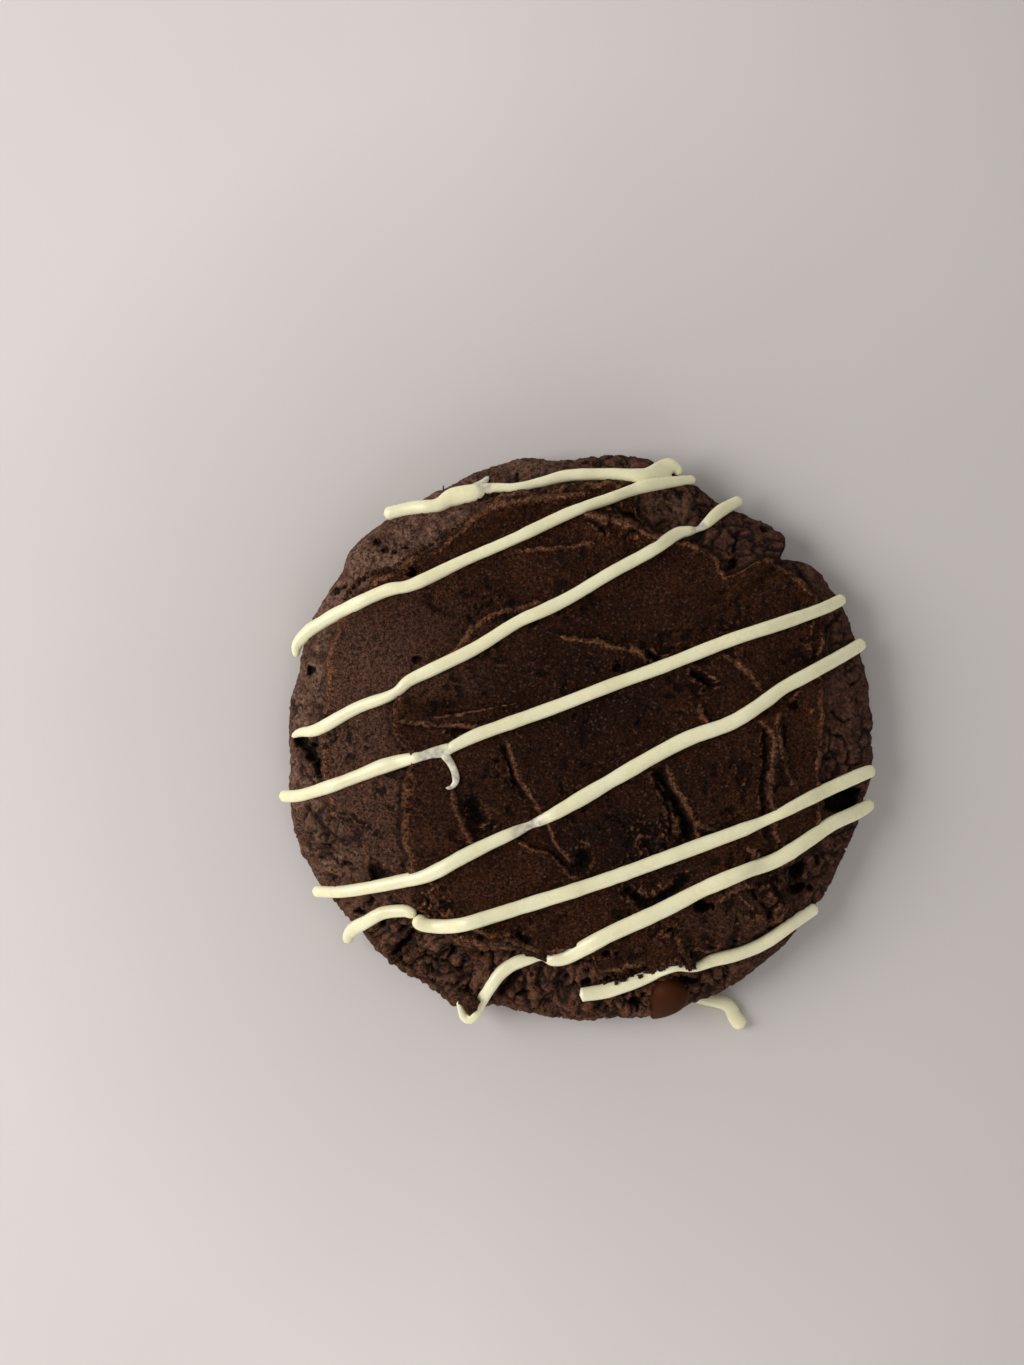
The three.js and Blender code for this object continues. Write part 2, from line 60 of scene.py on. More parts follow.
# The outline of the cookie: [angle, radius], with the chipped edge at 42 degrees.
OUTLINE = [
    [0, 44.9], [20, 45.0], [34, 44.7], [38, 43.8], [40.2, 42.5], [42, 41.2], [43.2, 43.2],
    [46, 44.0], [58, 42.2], [70, 43.2], [80, 44.1], [92, 43.0], [100, 43.8], [120, 43.9],
    [140, 45.5], [147, 44.9], [168, 44.9], [180, 44.7], [200, 46.4], [220, 45.5], [229, 45.5],
    [240, 45.0], [248, 45.7], [252, 43.3], [260, 43.2], [280, 43.8], [300, 44.8], [320, 44.5],
    [340, 44.7],
]

# The edge of the icing: [angle, radius], with the notch at 48 degrees.
ICING_EDGE = [
    [0, 36.8], [10, 37.4], [19, 38.5], [25, 41.2], [30, 42.2], [38, 41.2], [44, 39.6], [48, 33.8],
    [53, 34.4], [62, 34.2], [70, 33.2], [76, 35.2], [80, 39.0], [90, 39.2], [99, 38.4], [110, 39.0],
    [120, 36.9], [131, 37.4], [142, 39.5], [148, 40.9], [161, 41.0], [171, 39.4], [180, 40.0],
    [195, 40.0], [206, 37.6], [213, 39.4], [225, 36.6], [242, 36.2], [248, 33.9], [260, 33.2],
    [271, 32.2], [275, 35.7], [286, 36.2], [294, 38.3], [298, 36.8], [304, 38.8], [313, 40.5],
    [320, 41.2], [327, 37.1], [339, 38.6], [350, 36.8],
]

# How high the icing stands at its edge: [angle, height].
EDGE_HEIGHT = [
    [0, 0.7], [30, 0.6], [48, 1.6], [62, 1.3], [78, 1.0], [100, 1.0], [125, 1.3], [145, 1.2],
    [165, 0.9], [200, 0.9], [225, 1.1], [245, 1.6], [268, 1.8], [290, 1.6], [310, 1.2], [335, 1.0],
]

# How crumbly the bare rim is: [angle, share].
CRUMBLE = [
    [0, 0.3], [35, 0.26], [60, 0.42], [85, 0.4], [110, 0.2], [130, 0.14], [160, 0.2], [180, 0.35],
    [205, 0.6], [225, 0.95], [250, 0.9], [275, 0.8], [295, 0.6], [320, 0.4], [340, 0.3],
]

# White strands as [x, y, width] along their middles, from the upper edge downwards.
STRANDS = [
    [[-30.4, 34.4, 2.1], [-25.9, 35.3, 2.1], [-22.1, 35.6, 2.2], [-19.8, 36.8, 2.8],
     [-16.2, 37.5, 2.7], [-13.4, 38.2, 1.6], [-10, 38.2, 1.5], [-6, 39.1, 1.6], [-1.9, 40.1, 1.8],
     [4, 40.3, 1.8], [7.5, 40.1, 2.0], [10, 40.0, 2.6], [12.1, 40.8, 3.2], [13.6, 41.6, 2.8],
     [14.7, 41.3, 1.6], [15.1, 40.3, 1.2]],
    [[17.7, 39.8, 1.4], [14.9, 39.4, 1.6], [10.4, 38.6, 2.0], [7.6, 37.7, 1.8], [4.1, 36.3, 1.7],
     [-1.9, 34.1, 1.8], [-10.1, 30.2, 1.8], [-18, 26.8, 1.8], [-23.6, 24.1, 1.9], [-26.4, 23, 1.8],
     [-29.9, 22.3, 2.0], [-36.9, 19.2, 2.1], [-39.4, 17.9, 1.9], [-41.7, 16.5, 2.1],
     [-43.7, 14.4, 1.8], [-43.9, 12.4, 0.8]],
    [[24.9, 36.9, 1.7], [21.3, 34.8, 1.9], [18.8, 32.6, 1.5], [17.5, 31.8, 0.9], [16.1, 31.5, 1.6],
     [14.1, 30.9, 1.9], [10.1, 28.2, 1.9], [4.1, 24.9, 1.9], [-1.9, 21.3, 1.9], [-5.9, 19.3, 2.0],
     [-9.9, 17.5, 1.9], [-16, 13.7, 2.0], [-22.1, 10.7, 2.0], [-26, 8.8, 1.8], [-28.4, 6.8, 1.6],
     [-34, 4.7, 1.9], [-40, 1.5, 1.9], [-43, 0.9, 1.4], [-44.5, 0.2, 0.6]],
    [[40.7, 21.6, 1.8], [36.7, 19.8, 1.9], [30, 17.5, 2.0], [22, 14.9, 2.0], [12, 11, 2.0],
     [4, 8.1, 2.0], [-4, 5, 2.0], [-12, 2.15, 2.0], [-16, 0.7, 2.0], [-19.1, -0.8, 1.7],
     [-20.8, -1.9, 1.3], [-23, -2.2, 1.2], [-26, -2.85, 1.8], [-30, -4, 2.2], [-33.5, -5.4, 2.0],
     [-38, -7.1, 2.0], [-43, -8.7, 1.9], [-46.6, -9.0, 1.8]],
    [[43.8, 14.8, 1.9], [40, 12.8, 2.1], [34, 9.75, 2.2], [30, 7.7, 2.0], [27, 5.6, 2.1],
     [22, 2.55, 2.2], [16, 0.4, 2.2], [11, -2.1, 2.2], [6, -4.95, 2.2], [-2, -9.6, 2.2],
     [-6, -11.8, 1.7], [-8, -12.7, 1.2], [-10, -13.6, 1.7], [-14, -15.4, 2.1], [-18, -17.4, 2.2],
     [-23, -20.1, 2.2], [-28, -21.5, 2.0], [-36, -23.3, 1.9], [-41.5, -23.7, 1.8]],
    [[45.2, -4.8, 1.9], [42, -5.8, 2.1], [34, -9, 2.0], [28, -11.8, 1.6], [24, -13.4, 2.0],
     [19, -15.2, 2.2], [14, -17, 2.2], [4, -20.65, 2.2], [-6, -23.9, 2.2], [-16, -27, 2.2],
     [-20.5, -28.1, 2.2], [-23.4, -28.1, 2.2], [-24.6, -27.6, 2.3], [-25.5, -26.9, 2.0]],
    [[-25.0, -26.5, 1.4], [-26.0, -26.2, 1.8], [-27.2, -26.0, 1.9], [-30.4, -26.5, 2.0],
     [-32.9, -28, 2.0], [-34.8, -29.2, 2.1], [-35.9, -30.6, 1.8], [-35.9, -32.0, 1.4]],
    [[45.2, -10, 1.9], [42, -11.4, 2.2], [38, -12.9, 2.3], [34, -15.3, 2.3], [29, -18.2, 2.3],
     [24, -19.8, 2.3], [18, -22.3, 2.4], [12, -25.4, 2.4], [4, -29.1, 2.4], [0, -31.4, 2.4],
     [-2.6, -32.9, 2.3], [-4.6, -33.3, 1.9], [-6.2, -33.1, 0.9], [-8.1, -33.3, 1.8],
     [-10.4, -34.1, 2.1], [-12.4, -35.6, 2.1], [-14.1, -38.0, 1.9], [-15.6, -40.7, 1.8],
     [-16.3, -42.2, 1.9], [-17.1, -43.1, 1.8], [-18, -42.8, 1.4], [-18.5, -41.6, 1.0],
     [-18.9, -40.2, 0.7]],
    [[36.4, -25.9, 1.9], [32.3, -28.3, 2.0], [28, -31.1, 2.1], [24, -32.7, 2.1], [20, -33.6, 2.0],
     [17, -34.7, 1.4], [14.4, -34.5, 1.3], [12, -35.1, 1.6], [9, -36.5, 2.0], [4, -38.2, 2.2],
     [-0.4, -38.9, 2.2]],
    [[-20.9, -1.9, 1.5], [-20.1, -2.9, 1.2], [-19.4, -4.1, 1.1], [-19.0, -5.4, 1.1],
     [-19.1, -6.4, 0.9], [-19.8, -7.1, 0.6], [-20.5, -7.1, 0.4]],
    [[-24.6, -2.6, 1.3], [-22.8, -2.0, 1.5], [-21.2, -1.5, 1.5], [-19.6, -0.9, 1.2]],
    [[-17.6, 37.4, 1.8], [-16.0, 38.3, 1.7], [-14.9, 39.2, 1.1], [-14.2, 40.2, 0.5]],
]
CUT_END = 8  # the strand whose last end is cut off flat
THIN_SPOTS = [
    [17.8, 32.0, 1.6], [-22.4, -2, 3.0], [-19.8, -3.4, 2.6], [-19.4, -6.2, 2.6], [-14.8, 39.2, 2.0],
    [-8, -12.8, 3.4],
]

# A piece of strand that fell beside the cookie and sticks to its foot.
FALLEN_STRAND = [
    [12.6, -43.0, 1.0], [13.6, -41.7, 1.5], [15.4, -40.5, 1.8], [17.4, -40.4, 1.9],
    [20.3, -41.0, 2.1], [22.4, -41.5, 2.2], [23.5, -42.3, 2.2], [24.1, -43.6, 2.2],
    [25.5, -45.4, 2.4],
]
FALLEN_LEVEL = 1.0  # height of its middle above the table

# A whole chocolate chip baked into the side, pointing down.
CHIP_TOP = (14.4, -37.2, 9.2)
CHIP_TIP = (11.0, -43.3, 4.2)
CHIP_WIDTH, CHIP_DEPTH = 6.4, 4.8

# Ledges and folds that the knife left in the icing. Each steps up to the left of its path by
# rise, the high side sinks back over reach, and a thin lip stands along the edge.
LEDGES = [
    [1.3, 11, 0.5, [[-27.2, 6.3], [-28.4, 2.9], [-27.4, 0.4], [-25.7, -1.6], [-26.1, -5.9],
     [-26.6, -9], [-26.8, -13.9], [-26.3, -17], [-26.2, -20.4]]],
    [0.35, 5, 0.3, [[-28, 2.7], [-20, 2.1], [-15, 2.0]]],
    [1.0, 6, 0.2, [[-16.2, -15.2], [-17, -13.9], [-18.3, -11.5], [-19.2, -9.4], [-19.4, -7.5]]],
    [0.7, 9, 0.14, [[-11.7, 0.5], [-10.4, -3.5], [-9.8, -5.4], [-8.1, -8.3], [-6, -11.3],
     [-4.1, -15.3], [-1.8, -18.3]]],
    [0.6, 7, 0.12, [[-0.2, -20.7], [-1.8, -20.3], [-3.5, -18.5], [-5.6, -16.7], [-8, -16.2],
     [-10, -14.8]]],
    [0.8, 7, 0.12, [[11.8, -4.5], [13.2, -6.9], [15, -9.6], [16.6, -12.4], [18, -13.2],
     [20.4, -13.7]]],
    [0.6, 7, 0.22, [[26.2, 2.8], [28.2, 0.4], [28.4, -3.3], [27.8, -5.8], [27.8, -8],
     [28.6, -10.5], [28.6, -13.4], [29.1, -15.6]]],
    [0.35, 4, 0.35, [[36.6, -6], [36.3, -2], [36.5, 3], [36.2, 8]]],
    [0.5, 5, 0.25, [[32.5, -8], [30.9, -4.9], [30.2, -2], [29.1, 1.6], [29.8, 4.2]]],
    [0.4, 4, 0.3, [[33.9, 4], [35, 4.6], [36.4, 6.2]]],
    [0.6, 6, 0.3, [[21.1, 12.8], [23, 11.2], [24.9, 9.5], [26.9, 7.3]]],
    [0.7, 6, 0.3, [[9.1, 11.6], [8, 13.3], [4.2, 14.2], [0.4, 14.8], [-3.9, 15.5]]],
    [0.35, 5, 0.2, [[1.8, 29.5], [-4.6, 28.7], [-10.2, 28.2]]],
    [0.35, 6, 0.3, [[-6, 20.7], [-11.3, 19.2], [-15.3, 17.7], [-19.3, 13.5], [-23.3, 11]]],
    [0.8, 4, 0.4, [[12.4, 30.2], [9.6, 31.5], [6.5, 32.6], [3.3, 33.2], [0.3, 33.9]]],
    [0.6, 3, 0.35, [[11.6, 30.5], [9.4, 31.3], [7.2, 32.3], [4.6, 33.9], [1.2, 34.2]]],
    [0.6, 2.5, 0.4, [[5, 39.2], [-1, 38.9], [-6, 37.9], [-10, 37.2], [-14, 36.8]]],
    [0.6, 2.5, 0.5, [[1, 37.1], [-6, 36.7], [-10, 36.1], [-14, 35], [-17.5, 33], [-22.5, 30.2]]],
    [1.3, 4, 0.45, [[-24.1, -22.6], [-22.4, -24.1], [-21.3, -25.6], [-20.3, -26.8]]],
    [0.7, 2, 0.4, [[-33.1, -21.4], [-33.2, -19.9], [-33.7, -18.4], [-33.9, -15.9]]],
    [0.55, 3, 0.55, [[-39.0, -6], [-38.9, -9], [-38.1, -11.8], [-36.8, -14.4]]],
    [1.3, 4, 0.45, [[-20, -27.9], [-17, -28.3], [-13.4, -29.4], [-11.2, -30.3], [-9, -31.4],
     [-6.9, -32.6]]],
    [0.8, 3, 0.4, [[-21.6, -29.4], [-19.2, -30.6], [-17.2, -30.2], [-15, -31.4], [-12.4, -32.0]]],
    [0.35, 4, 0.15, [[26.8, 27.3], [30, 26.3], [32, 24.5], [34.4, 22]]],
    [0.5, 4, 0.3, [[24.6, -16.1], [25.8, -17.6], [26.7, -18.3]]],
    [0.6, 3.5, 0.35, [[29.6, -20.6], [31.6, -22.6], [31.9, -24.6], [30.6, -27], [28.2, -29]]],
    [0.6, 4, 0.3, [[20.5, -24.4], [23.2, -22.4], [26.1, -21.7]]],
    [0.35, 3, 0.25, [[13.2, -27.6], [14.2, -30.2], [15.4, -32.6], [16.1, -34.2]]],
    [0.5, 2.2, 0.6, [[-37.0, 19.4], [-37.8, 16.2], [-38.4, 13.2], [-38.2, 9.6], [-38.6, 6.0]]],
    [0.4, 2.2, 0.5, [[-39.3, 12.4], [-39.6, 8.4], [-39.4, 4.6], [-39.9, 1.8]]],
    [0.7, 2.2, 0.6, [[-25, 28.4], [-28.2, 26.2], [-31.2, 25.9], [-33.6, 24.6], [-36, 22]]],
    [0.4, 3, 0.35, [[34.8, 12.6], [34.4, 14.4], [34.8, 16.4], [35.6, 18.2]]],
    [0.4, 3, 0.25, [[18.6, 2.2], [17.9, 3.9], [17.4, 5.6]]],
    [0.35, 1.6, 0.42, [[-27.6, 5.6], [-28.5, 2.8], [-27.5, 0.5], [-26.0, -1.3]]],
]

# Gouges between the strokes, dark with painted shade, with damp shiny walls: [width, depth, path].
GOUGES = [
    [1.5, 1.2, [[11.0, -4.3], [12.2, -6.6], [13.6, -9], [14.8, -11.2], [15.4, -13], [15.8, -15.2]]],
    [0.5, 0.5, [[10.1, -4.9], [11.3, -6.9], [12.3, -9], [13, -11.7], [13, -14.2]]],
    [1.7, 0.9, [[6, -22.3], [7.4, -22.9], [8.9, -24.2], [10.8, -24.4], [12.3, -23.5], [14, -22],
     [15.9, -20.3]]],
    [2.3, 1.0, [[-0.3, -19.6], [-0.1, -17.8], [-0.4, -16.2]]],
    [2.0, 0.8, [[-15.2, -12.4], [-16, -10.6], [-17.2, -8.6]]],
    [1.3, 1.0, [[15.9, 10.2], [17.4, 9.3], [18.7, 8.5], [19.4, 7.6]]],
    [1.0, 0.7, [[9.4, 12.7], [10.4, 12.4], [11.5, 11.7]]],
    [2.8, 1.5, [[-31.6, -18.9], [-31.0, -20.2], [-30.4, -21.4]]],
    [0.6, 0.35, [[29.9, 3.2], [30.2, 0.8], [30.2, -2], [30.9, -4.9], [32.5, -8]]],
    [0.8, 0.5, [[27.1, 1.6], [27.3, -2.8], [26.8, -6.8], [27.2, -11.6], [27.7, -14.8]]],
    [0.7, 0.5, [[-8, 16.7], [-7, 17.4], [-6, 18.1]]],
    [0.6, 0.6, [[0.5, 33], [2.0, 32.4], [3.5, 30.8]]],
    [0.8, 0.6, [[-20.2, 1.6], [-18.6, 1.4], [-17, 1.2]]],
    [0.5, 0.4, [[-12.2, -0.4], [-10.8, -4.2], [-10.2, -6.2], [-8.7, -8.6]]],
    [0.8, 0.9, [[12.5, -28.9], [13.4, -28.4], [13.6, -29.6]]],
    [0.9, 0.7, [[-9.8, -28.2], [-9.4, -29.4], [-7.6, -30.6]]],
]

# Places where the icing is torn up into crumbly piles: [share, x, y, half length, half width,
# turn].
MESSY = [
    [1.0, 7, 32.6, 6, 2.4, -20], [0.9, 28.5, -24.5, 3.6, 5, -30], [0.8, -13, -30, 7, 1.8, -18],
    [0.7, -6, 37.4, 9, 1.4, 12], [0.9, -22, -24.6, 3, 2.6, -50], [0.8, 31.5, -18, 3, 3, 0],
    [0.6, 12, -28.5, 3, 2, 0], [0.6, 16.2, -31.5, 1.2, 3.2, 15], [0.6, 9, -22.6, 5, 1.6, 20],
    [0.5, 31, 6, 2.5, 3, 0], [0.6, -27.5, 25.5, 4, 1.5, 30], [0.5, 9.5, -15, 3.5, 3, 0],
    [0.5, -20, 31, 5, 1.2, 35], [0.5, 25.5, -17, 2.5, 1.2, -40],
]

# Soft spots, in the same columns: wet and rough in the gaps between the strokes, darker in the
# middle with painted shade, and drier and paler near the lower right.
WET = [[1.0, 12, -15, 6, 5, 0], [0.8, -15.8, -10.5, 2.6, 3.6, 0], [0.7, 27.2, -9, 2, 7, 0]]
MIDDLE_SHADE = [[0.75, 1, 5, 20, 20, 0], [1.0, 6, -15, 9, 7, 0]]
DRY = [[0.4, 24, -27, 9, 6, 0]]

# Bubbles and holes in the icing: [x, y, length, width, depth, turn].
HOLES = [
    [5, 10.8, 1.6, 1.2, 0.8, 20], [-24.8, 12, 1.3, 1.1, 0.7, 0], [31.6, 5, 1.5, 1.2, 0.8, 0],
    [33.2, 14.9, 0.9, 0.8, 0.4, 0], [30.3, 11.6, 0.9, 0.7, 0.35, 0], [-4.6, 3.0, 0.8, 0.6, 0.3, 0],
    [-12.9, -3.2, 1.4, 1.1, 0.35, 20], [-10.2, -6.6, 0.8, 0.7, 0.3, 0],
    [17.5, -25, 3.2, 1.7, 2.0, 8], [32.4, -19.4, 3.0, 1.5, 2.4, 78],
    [32.3, -22.8, 1.7, 1.3, 2.0, 0], [17.4, -32.5, 2.1, 1.3, 2.0, 12],
    [23, -31.0, 1.5, 1.1, 1.8, 40], [19.7, -31.5, 1.0, 0.5, 1.0, 0], [3.5, -32.2, 1.3, 1.0, 1.4, 0],
    [5.1, -32.2, 0.7, 0.6, 1.0, 0], [-25.6, 25.2, 1.6, 1.5, 1.8, 0],
    [25.9, -23.5, 1.7, 0.6, 0.7, -60], [27.5, -25.2, 1.5, 0.5, 0.6, -50],
    [16.2, -32.2, 1.0, 0.6, 0.8, 90], [28.3, -26.5, 1.3, 0.7, 0.6, 70],
    [36.6, -6.5, 1.4, 1.0, 1.2, 0], [12.4, -15.7, 1.0, 0.8, 0.4, 0], [8.2, 2.6, 1.0, 0.8, 0.35, 40],
    [-6.2, 9.9, 1.6, 0.7, 0.35, 0], [-14.6, 6.9, 1.2, 0.6, 0.3, 0],
]

# Pits and gashes in the bare rim: [x, y, length, width, depth, turn].
PITS = [
    [-42.3, -1.2, 3.6, 2.0, 2.0, -35], [-41.0, -2.4, 2.6, 1.8, 1.9, -60],
    [-39.9, -4.2, 2.2, 1.7, 1.5, -75], [-31.1, 29.9, 1.4, 0.9, 0.9, 150],
    [-30, 28.8, 1.0, 0.8, 0.8, 0], [-28.5, 28.4, 1.0, 0.7, 0.8, 0], [-26.7, 29.2, 1.0, 0.6, 0.7, 0],
    [-37.6, 22.4, 1.4, 1.3, 1.2, 0], [-36.2, 23.2, 1.3, 0.6, 0.8, 20],
    [-34.8, 23.0, 1.0, 0.8, 0.8, 0], [-41.2, 10.5, 1.3, 1.0, 1.0, 0],
    [-42.3, 12.6, 0.7, 0.6, 0.5, 0], [-33.4, -26.4, 2.4, 1.1, 1.5, 8],
    [-30.3, -28.4, 1.6, 1.0, 1.1, 20], [-27.4, -31.4, 3.4, 1.2, 1.9, 42],
    [-25.6, -29.3, 1.7, 1.1, 1.3, 60], [-22.8, -34.9, 2.2, 1.0, 1.0, 0],
    [-19.8, -32.5, 2.0, 0.6, 1.0, 52], [-15.0, -32.2, 1.4, 0.6, 0.9, 60],
    [-8.7, -38.3, 1.6, 0.9, 1.1, 0], [-17.2, -38.4, 1.8, 0.9, 1.0, 10],
    [0.7, -35, 1.1, 0.8, 1.1, 0], [0.5, -36.7, 1.6, 1.5, 1.5, 0], [3.7, -36.5, 2.0, 0.8, 1.3, 5],
    [8.3, -40.2, 1.9, 1.9, 2.0, 0], [6.4, -39.0, 1.0, 0.8, 1.0, 0], [9.3, -38.8, 1.4, 0.7, 1.2, 60],
    [8.6, -41.5, 1.0, 0.6, 1.0, 80], [16.4, -36.9, 4.6, 1.7, 2.0, -14],
    [35, -22.9, 1.0, 0.9, 0.9, 0], [33.0, -19.8, 3.2, 2.0, 2.4, 70],
    [33.0, -23.0, 2.4, 1.5, 2.0, 25], [35.8, -18.4, 1.7, 0.6, 0.9, 80],
    [28.3, 32.3, 1.6, 1.2, 1.0, 0], [22.6, 26.2, 2.6, 1.4, 1.2, 50], [38.0, -6.6, 1.3, 1.0, 0.9, 0],
    [20.4, 37.0, 1.0, 0.7, 0.7, 0], [15.2, 37.4, 1.3, 1.0, 0.8, 60],
    [-35.6, -18.9, 1.3, 0.8, 0.8, 0], [-31.8, -24.6, 1.2, 0.7, 0.8, 30],
]

# Cracks in the bare rim: [width, depth, path].
CRACKS = [
    [0.45, 0.7, [[37.3, 1.6], [38, 0.7], [39.2, 0.5], [40.1, 0.3], [40.3, -0.4]]],
    [0.35, 0.5, [[40.7, 8.1], [41.5, 8.5], [42.1, 8.4]]],
    [0.45, 0.7, [[37.1, 16], [37.4, 16.9], [38.2, 17.5], [38.9, 18.4], [39.8, 19.5]]],
    [0.5, 0.7, [[24.1, 32], [23.6, 30.2], [22.8, 28.2]]],
    [0.55, 0.8, [[32.5, 27], [33.1, 25.4], [34, 23.7]]],
    [0.4, 0.5, [[-39.9, -15.7], [-38.6, -16.4], [-37.2, -17.3]]],
    [0.5, 0.8, [[22.2, -34.4], [22.4, -35.4], [22.1, -36.8]]],
    [0.5, 0.6, [[26.1, -34.6], [27.1, -35]]],
    [0.6, 0.8, [[-9.9, 41.2], [-10, 40.2], [-9.8, 39.3]]],
    [1.1, 1.5, [[-10.4, -35.6], [-11.6, -37.3], [-12.6, -38.9]]],
    [0.5, 0.8, [[-6.2, -34.6], [-6.6, -36.2], [-6.2, -38]]],
    [0.5, 0.7, [[-3.4, -35.2], [-3.8, -37.4], [-3.2, -39.6]]],
    [0.5, 0.8, [[-24.6, -32.8], [-22.4, -33.4], [-20.2, -33.9], [-17.9, -35.3]]],
    [0.5, 0.7, [[-29.2, -30.0], [-27.8, -29.2], [-26.2, -27.8]]],
    [0.45, 0.6, [[-21.7, -37.8], [-20.3, -37.0], [-18.2, -36.8]]],
    [0.4, 0.5, [[35.2, -21.4], [36.2, -20.9], [37.3, -20.6]]],
    [0.4, 0.5, [[38.6, 11.4], [40.2, 11.9], [41.4, 11.8]]],
    [0.4, 0.6, [[38.4, 4.6], [38.8, 3.0], [40.0, 2.6], [41.2, 3.0]]],
    [0.4, 0.5, [[13.2, 37.9], [12.4, 35.8], [13.8, 34.4]]],
    [0.4, 0.5, [[17.8, 35.6], [19.9, 33.4], [21.4, 31.6]]],
]

# The broken-out block at the right of the rim: a slot [x, y, length, width, depth, turn].
BLOCK_NOTCH = [39.7, -9.3, 5.6, 4.8, 3.4, -14]

SEED = 4021

ICING_GRID = 300  # points along a side of the icing's grid

# ---- numbers worked out from the shapes ----


def smoothstep(low, high, value):
    """0 below low, 1 above high, and smooth in between."""
    t = np.clip((value - low) / (high - low), 0, 1)
    return t * t * (3 - 2 * t)


def lattice(i, j, k, seed):
    """A random number from 0 to 1 for each cell of a grid."""
    h = (i * 0x1F123BB5) ^ (j * 0x5F356495) ^ (k * 0x2C1B3C6D) ^ ((seed + SEED) * 0x3C6EF372)
    h &= 0xFFFFFFFF
    h = ((h ^ (h >> 15)) * 0x45D9F3B5) & 0xFFFFFFFF
    h = ((h ^ (h >> 13)) * 0x2545F491) & 0xFFFFFFFF
    return (h ^ (h >> 16)) / 2**32


def bumps(x, y, z, size, seed):
    """Smooth random bumps from -1 to 1, about size across."""
    p = [np.asarray(v, float) / size for v in np.broadcast_arrays(x, y, z)]
    cell = [np.floor(v).astype(np.int64) for v in p]
    f = [v - c for v, c in zip(p, cell)]
    u, v, w = [t * t * t * (t * (6 * t - 15) + 10) for t in f]
    total = np.zeros(p[0].shape)
    for dk, wk in ((0, 1 - w), (1, w)):
        for dj, wj in ((0, 1 - v), (1, v)):
            for di, wi in ((0, 1 - u), (1, u)):
                total += wi * wj * wk * lattice(cell[0] + di, cell[1] + dj, cell[2] + dk, seed)
    return 2 * total - 1


def rough(x, y, z, size, octaves, seed, fall=0.5):
    """Bumps of several sizes on top of each other, each fall times the strength of the last."""
    total = 0
    for n in range(octaves):
        total = total + fall**n * bumps(x, y, z, size / 2**n, seed + 7 * n)
    return total


def crumbs_of(x, y, z, size, seed):
    """Round lumps packed together: 1 at a lump's middle, falling to 0 in the cracks between."""
    p = [np.asarray(v, float) / size for v in (x, y, z)]
    cell = [np.floor(v).astype(np.int64) for v in p]
    near = np.full(p[0].shape, 9.0)
    second = np.full(p[0].shape, 9.0)
    for di in (-1, 0, 1):
        for dj in (-1, 0, 1):
            for dk in (-1, 0, 1):
                at = [c + d for c, d in zip(cell, (di, dj, dk))]
                away = sum((at[n] + lattice(*at, seed + 31 * n) - p[n]) ** 2 for n in range(3))
                second = np.minimum(second, np.maximum(near, away))
                near = np.minimum(near, away)
    return smoothstep(0, 0.55, np.sqrt(second) - np.sqrt(near))


def closed_curve(points):
    """A value for every tenth of a degree on the smooth closed curve through the points."""
    angle, value = np.array(points, float).T
    a = np.concatenate([angle[-2:] - 360, angle, angle[:3] + 360])
    r = np.concatenate([value[-2:], value, value[:3]])
    slope = (r[2:] - r[:-2]) / (a[2:] - a[:-2])
    at = np.arange(0, 360, 0.1)
    i = np.searchsorted(a, at, side="right") - 1
    span = a[i + 1] - a[i]
    t = (at - a[i]) / span
    start = slope[i - 1] * span
    end = slope[i] * span
    return ((2 * t**3 - 3 * t**2 + 1) * r[i] + (t**3 - 2 * t**2 + t) * start
            + (3 * t**2 - 2 * t**3) * r[i + 1] + (t**3 - t**2) * end)


def read_curve(curve, x, y):
    """The closed curve's value in the direction of each (x, y)."""
    angle = np.degrees(np.arctan2(y, x)) % 360
    return np.interp(angle, np.arange(0, 360, 0.1), curve, period=360)


def smooth_path(points, step):
    """Points about step apart on the smooth curve through the given ones."""
    p = np.array(points, float)
    p = np.vstack([2 * p[0] - p[1], p, 2 * p[-1] - p[-2]])
    t = np.linspace(0, 1, 24, endpoint=False)[:, None]
    pieces = [
        0.5 * (2 * b + (c - a) * t + (2 * a - 5 * b + 4 * c - d) * t**2
               + (3 * b - a - 3 * c + d) * t**3)
        for a, b, c, d in zip(p, p[1:], p[2:], p[3:])
    ]
    fine = np.vstack([*pieces, p[-2:-1]])
    gone = np.concatenate([[0], np.cumsum(np.linalg.norm(np.diff(fine[:, :2], axis=0), axis=1))])
    at = np.linspace(0, gone[-1], max(2, round(gone[-1] / step) + 1))
    return np.column_stack([np.interp(at, gone, column) for column in fine.T])


def near_path(points, x, y, reach):
    """For the (x, y) within reach of a path: which they are, their distance, positive on the
    path's left, how far along they are, and the path's length."""
    path = smooth_path(points, 0.6)
    low, high = path.min(0) - reach, path.max(0) + reach
    which = np.flatnonzero((x > low[0]) & (x < high[0]) & (y > low[1]) & (y < high[1]))
    best = np.full(len(which), np.inf)
    side = np.ones(len(which))
    along = np.zeros(len(which))
    gone = 0.0
    px, py = x[which], y[which]
    for (ax, ay), (bx, by) in zip(path, path[1:]):
        dx, dy = bx - ax, by - ay
        length = math.hypot(dx, dy)
        t = ((px - ax) * dx + (py - ay) * dy) / length**2
        held = np.clip(t, 0, 1)
        away = np.hypot(px - ax - held * dx, py - ay - held * dy)
        closer = away < best
        best[closer] = away[closer]
        side[closer] = np.sign(dx * (py - ay) - dy * (px - ax))[closer]
        along[closer] = (gone + t * length)[closer]
        gone += length
    inside = best < reach
    return which[inside], (best * side)[inside], along[inside], gone


def end_fade(along, length, fade):
    """1 along a path, falling to 0 over fade at both of its ends."""
    low, high = -0.4 * fade, 0.6 * fade
    return smoothstep(low, high, along) * smoothstep(low, high, length - along)


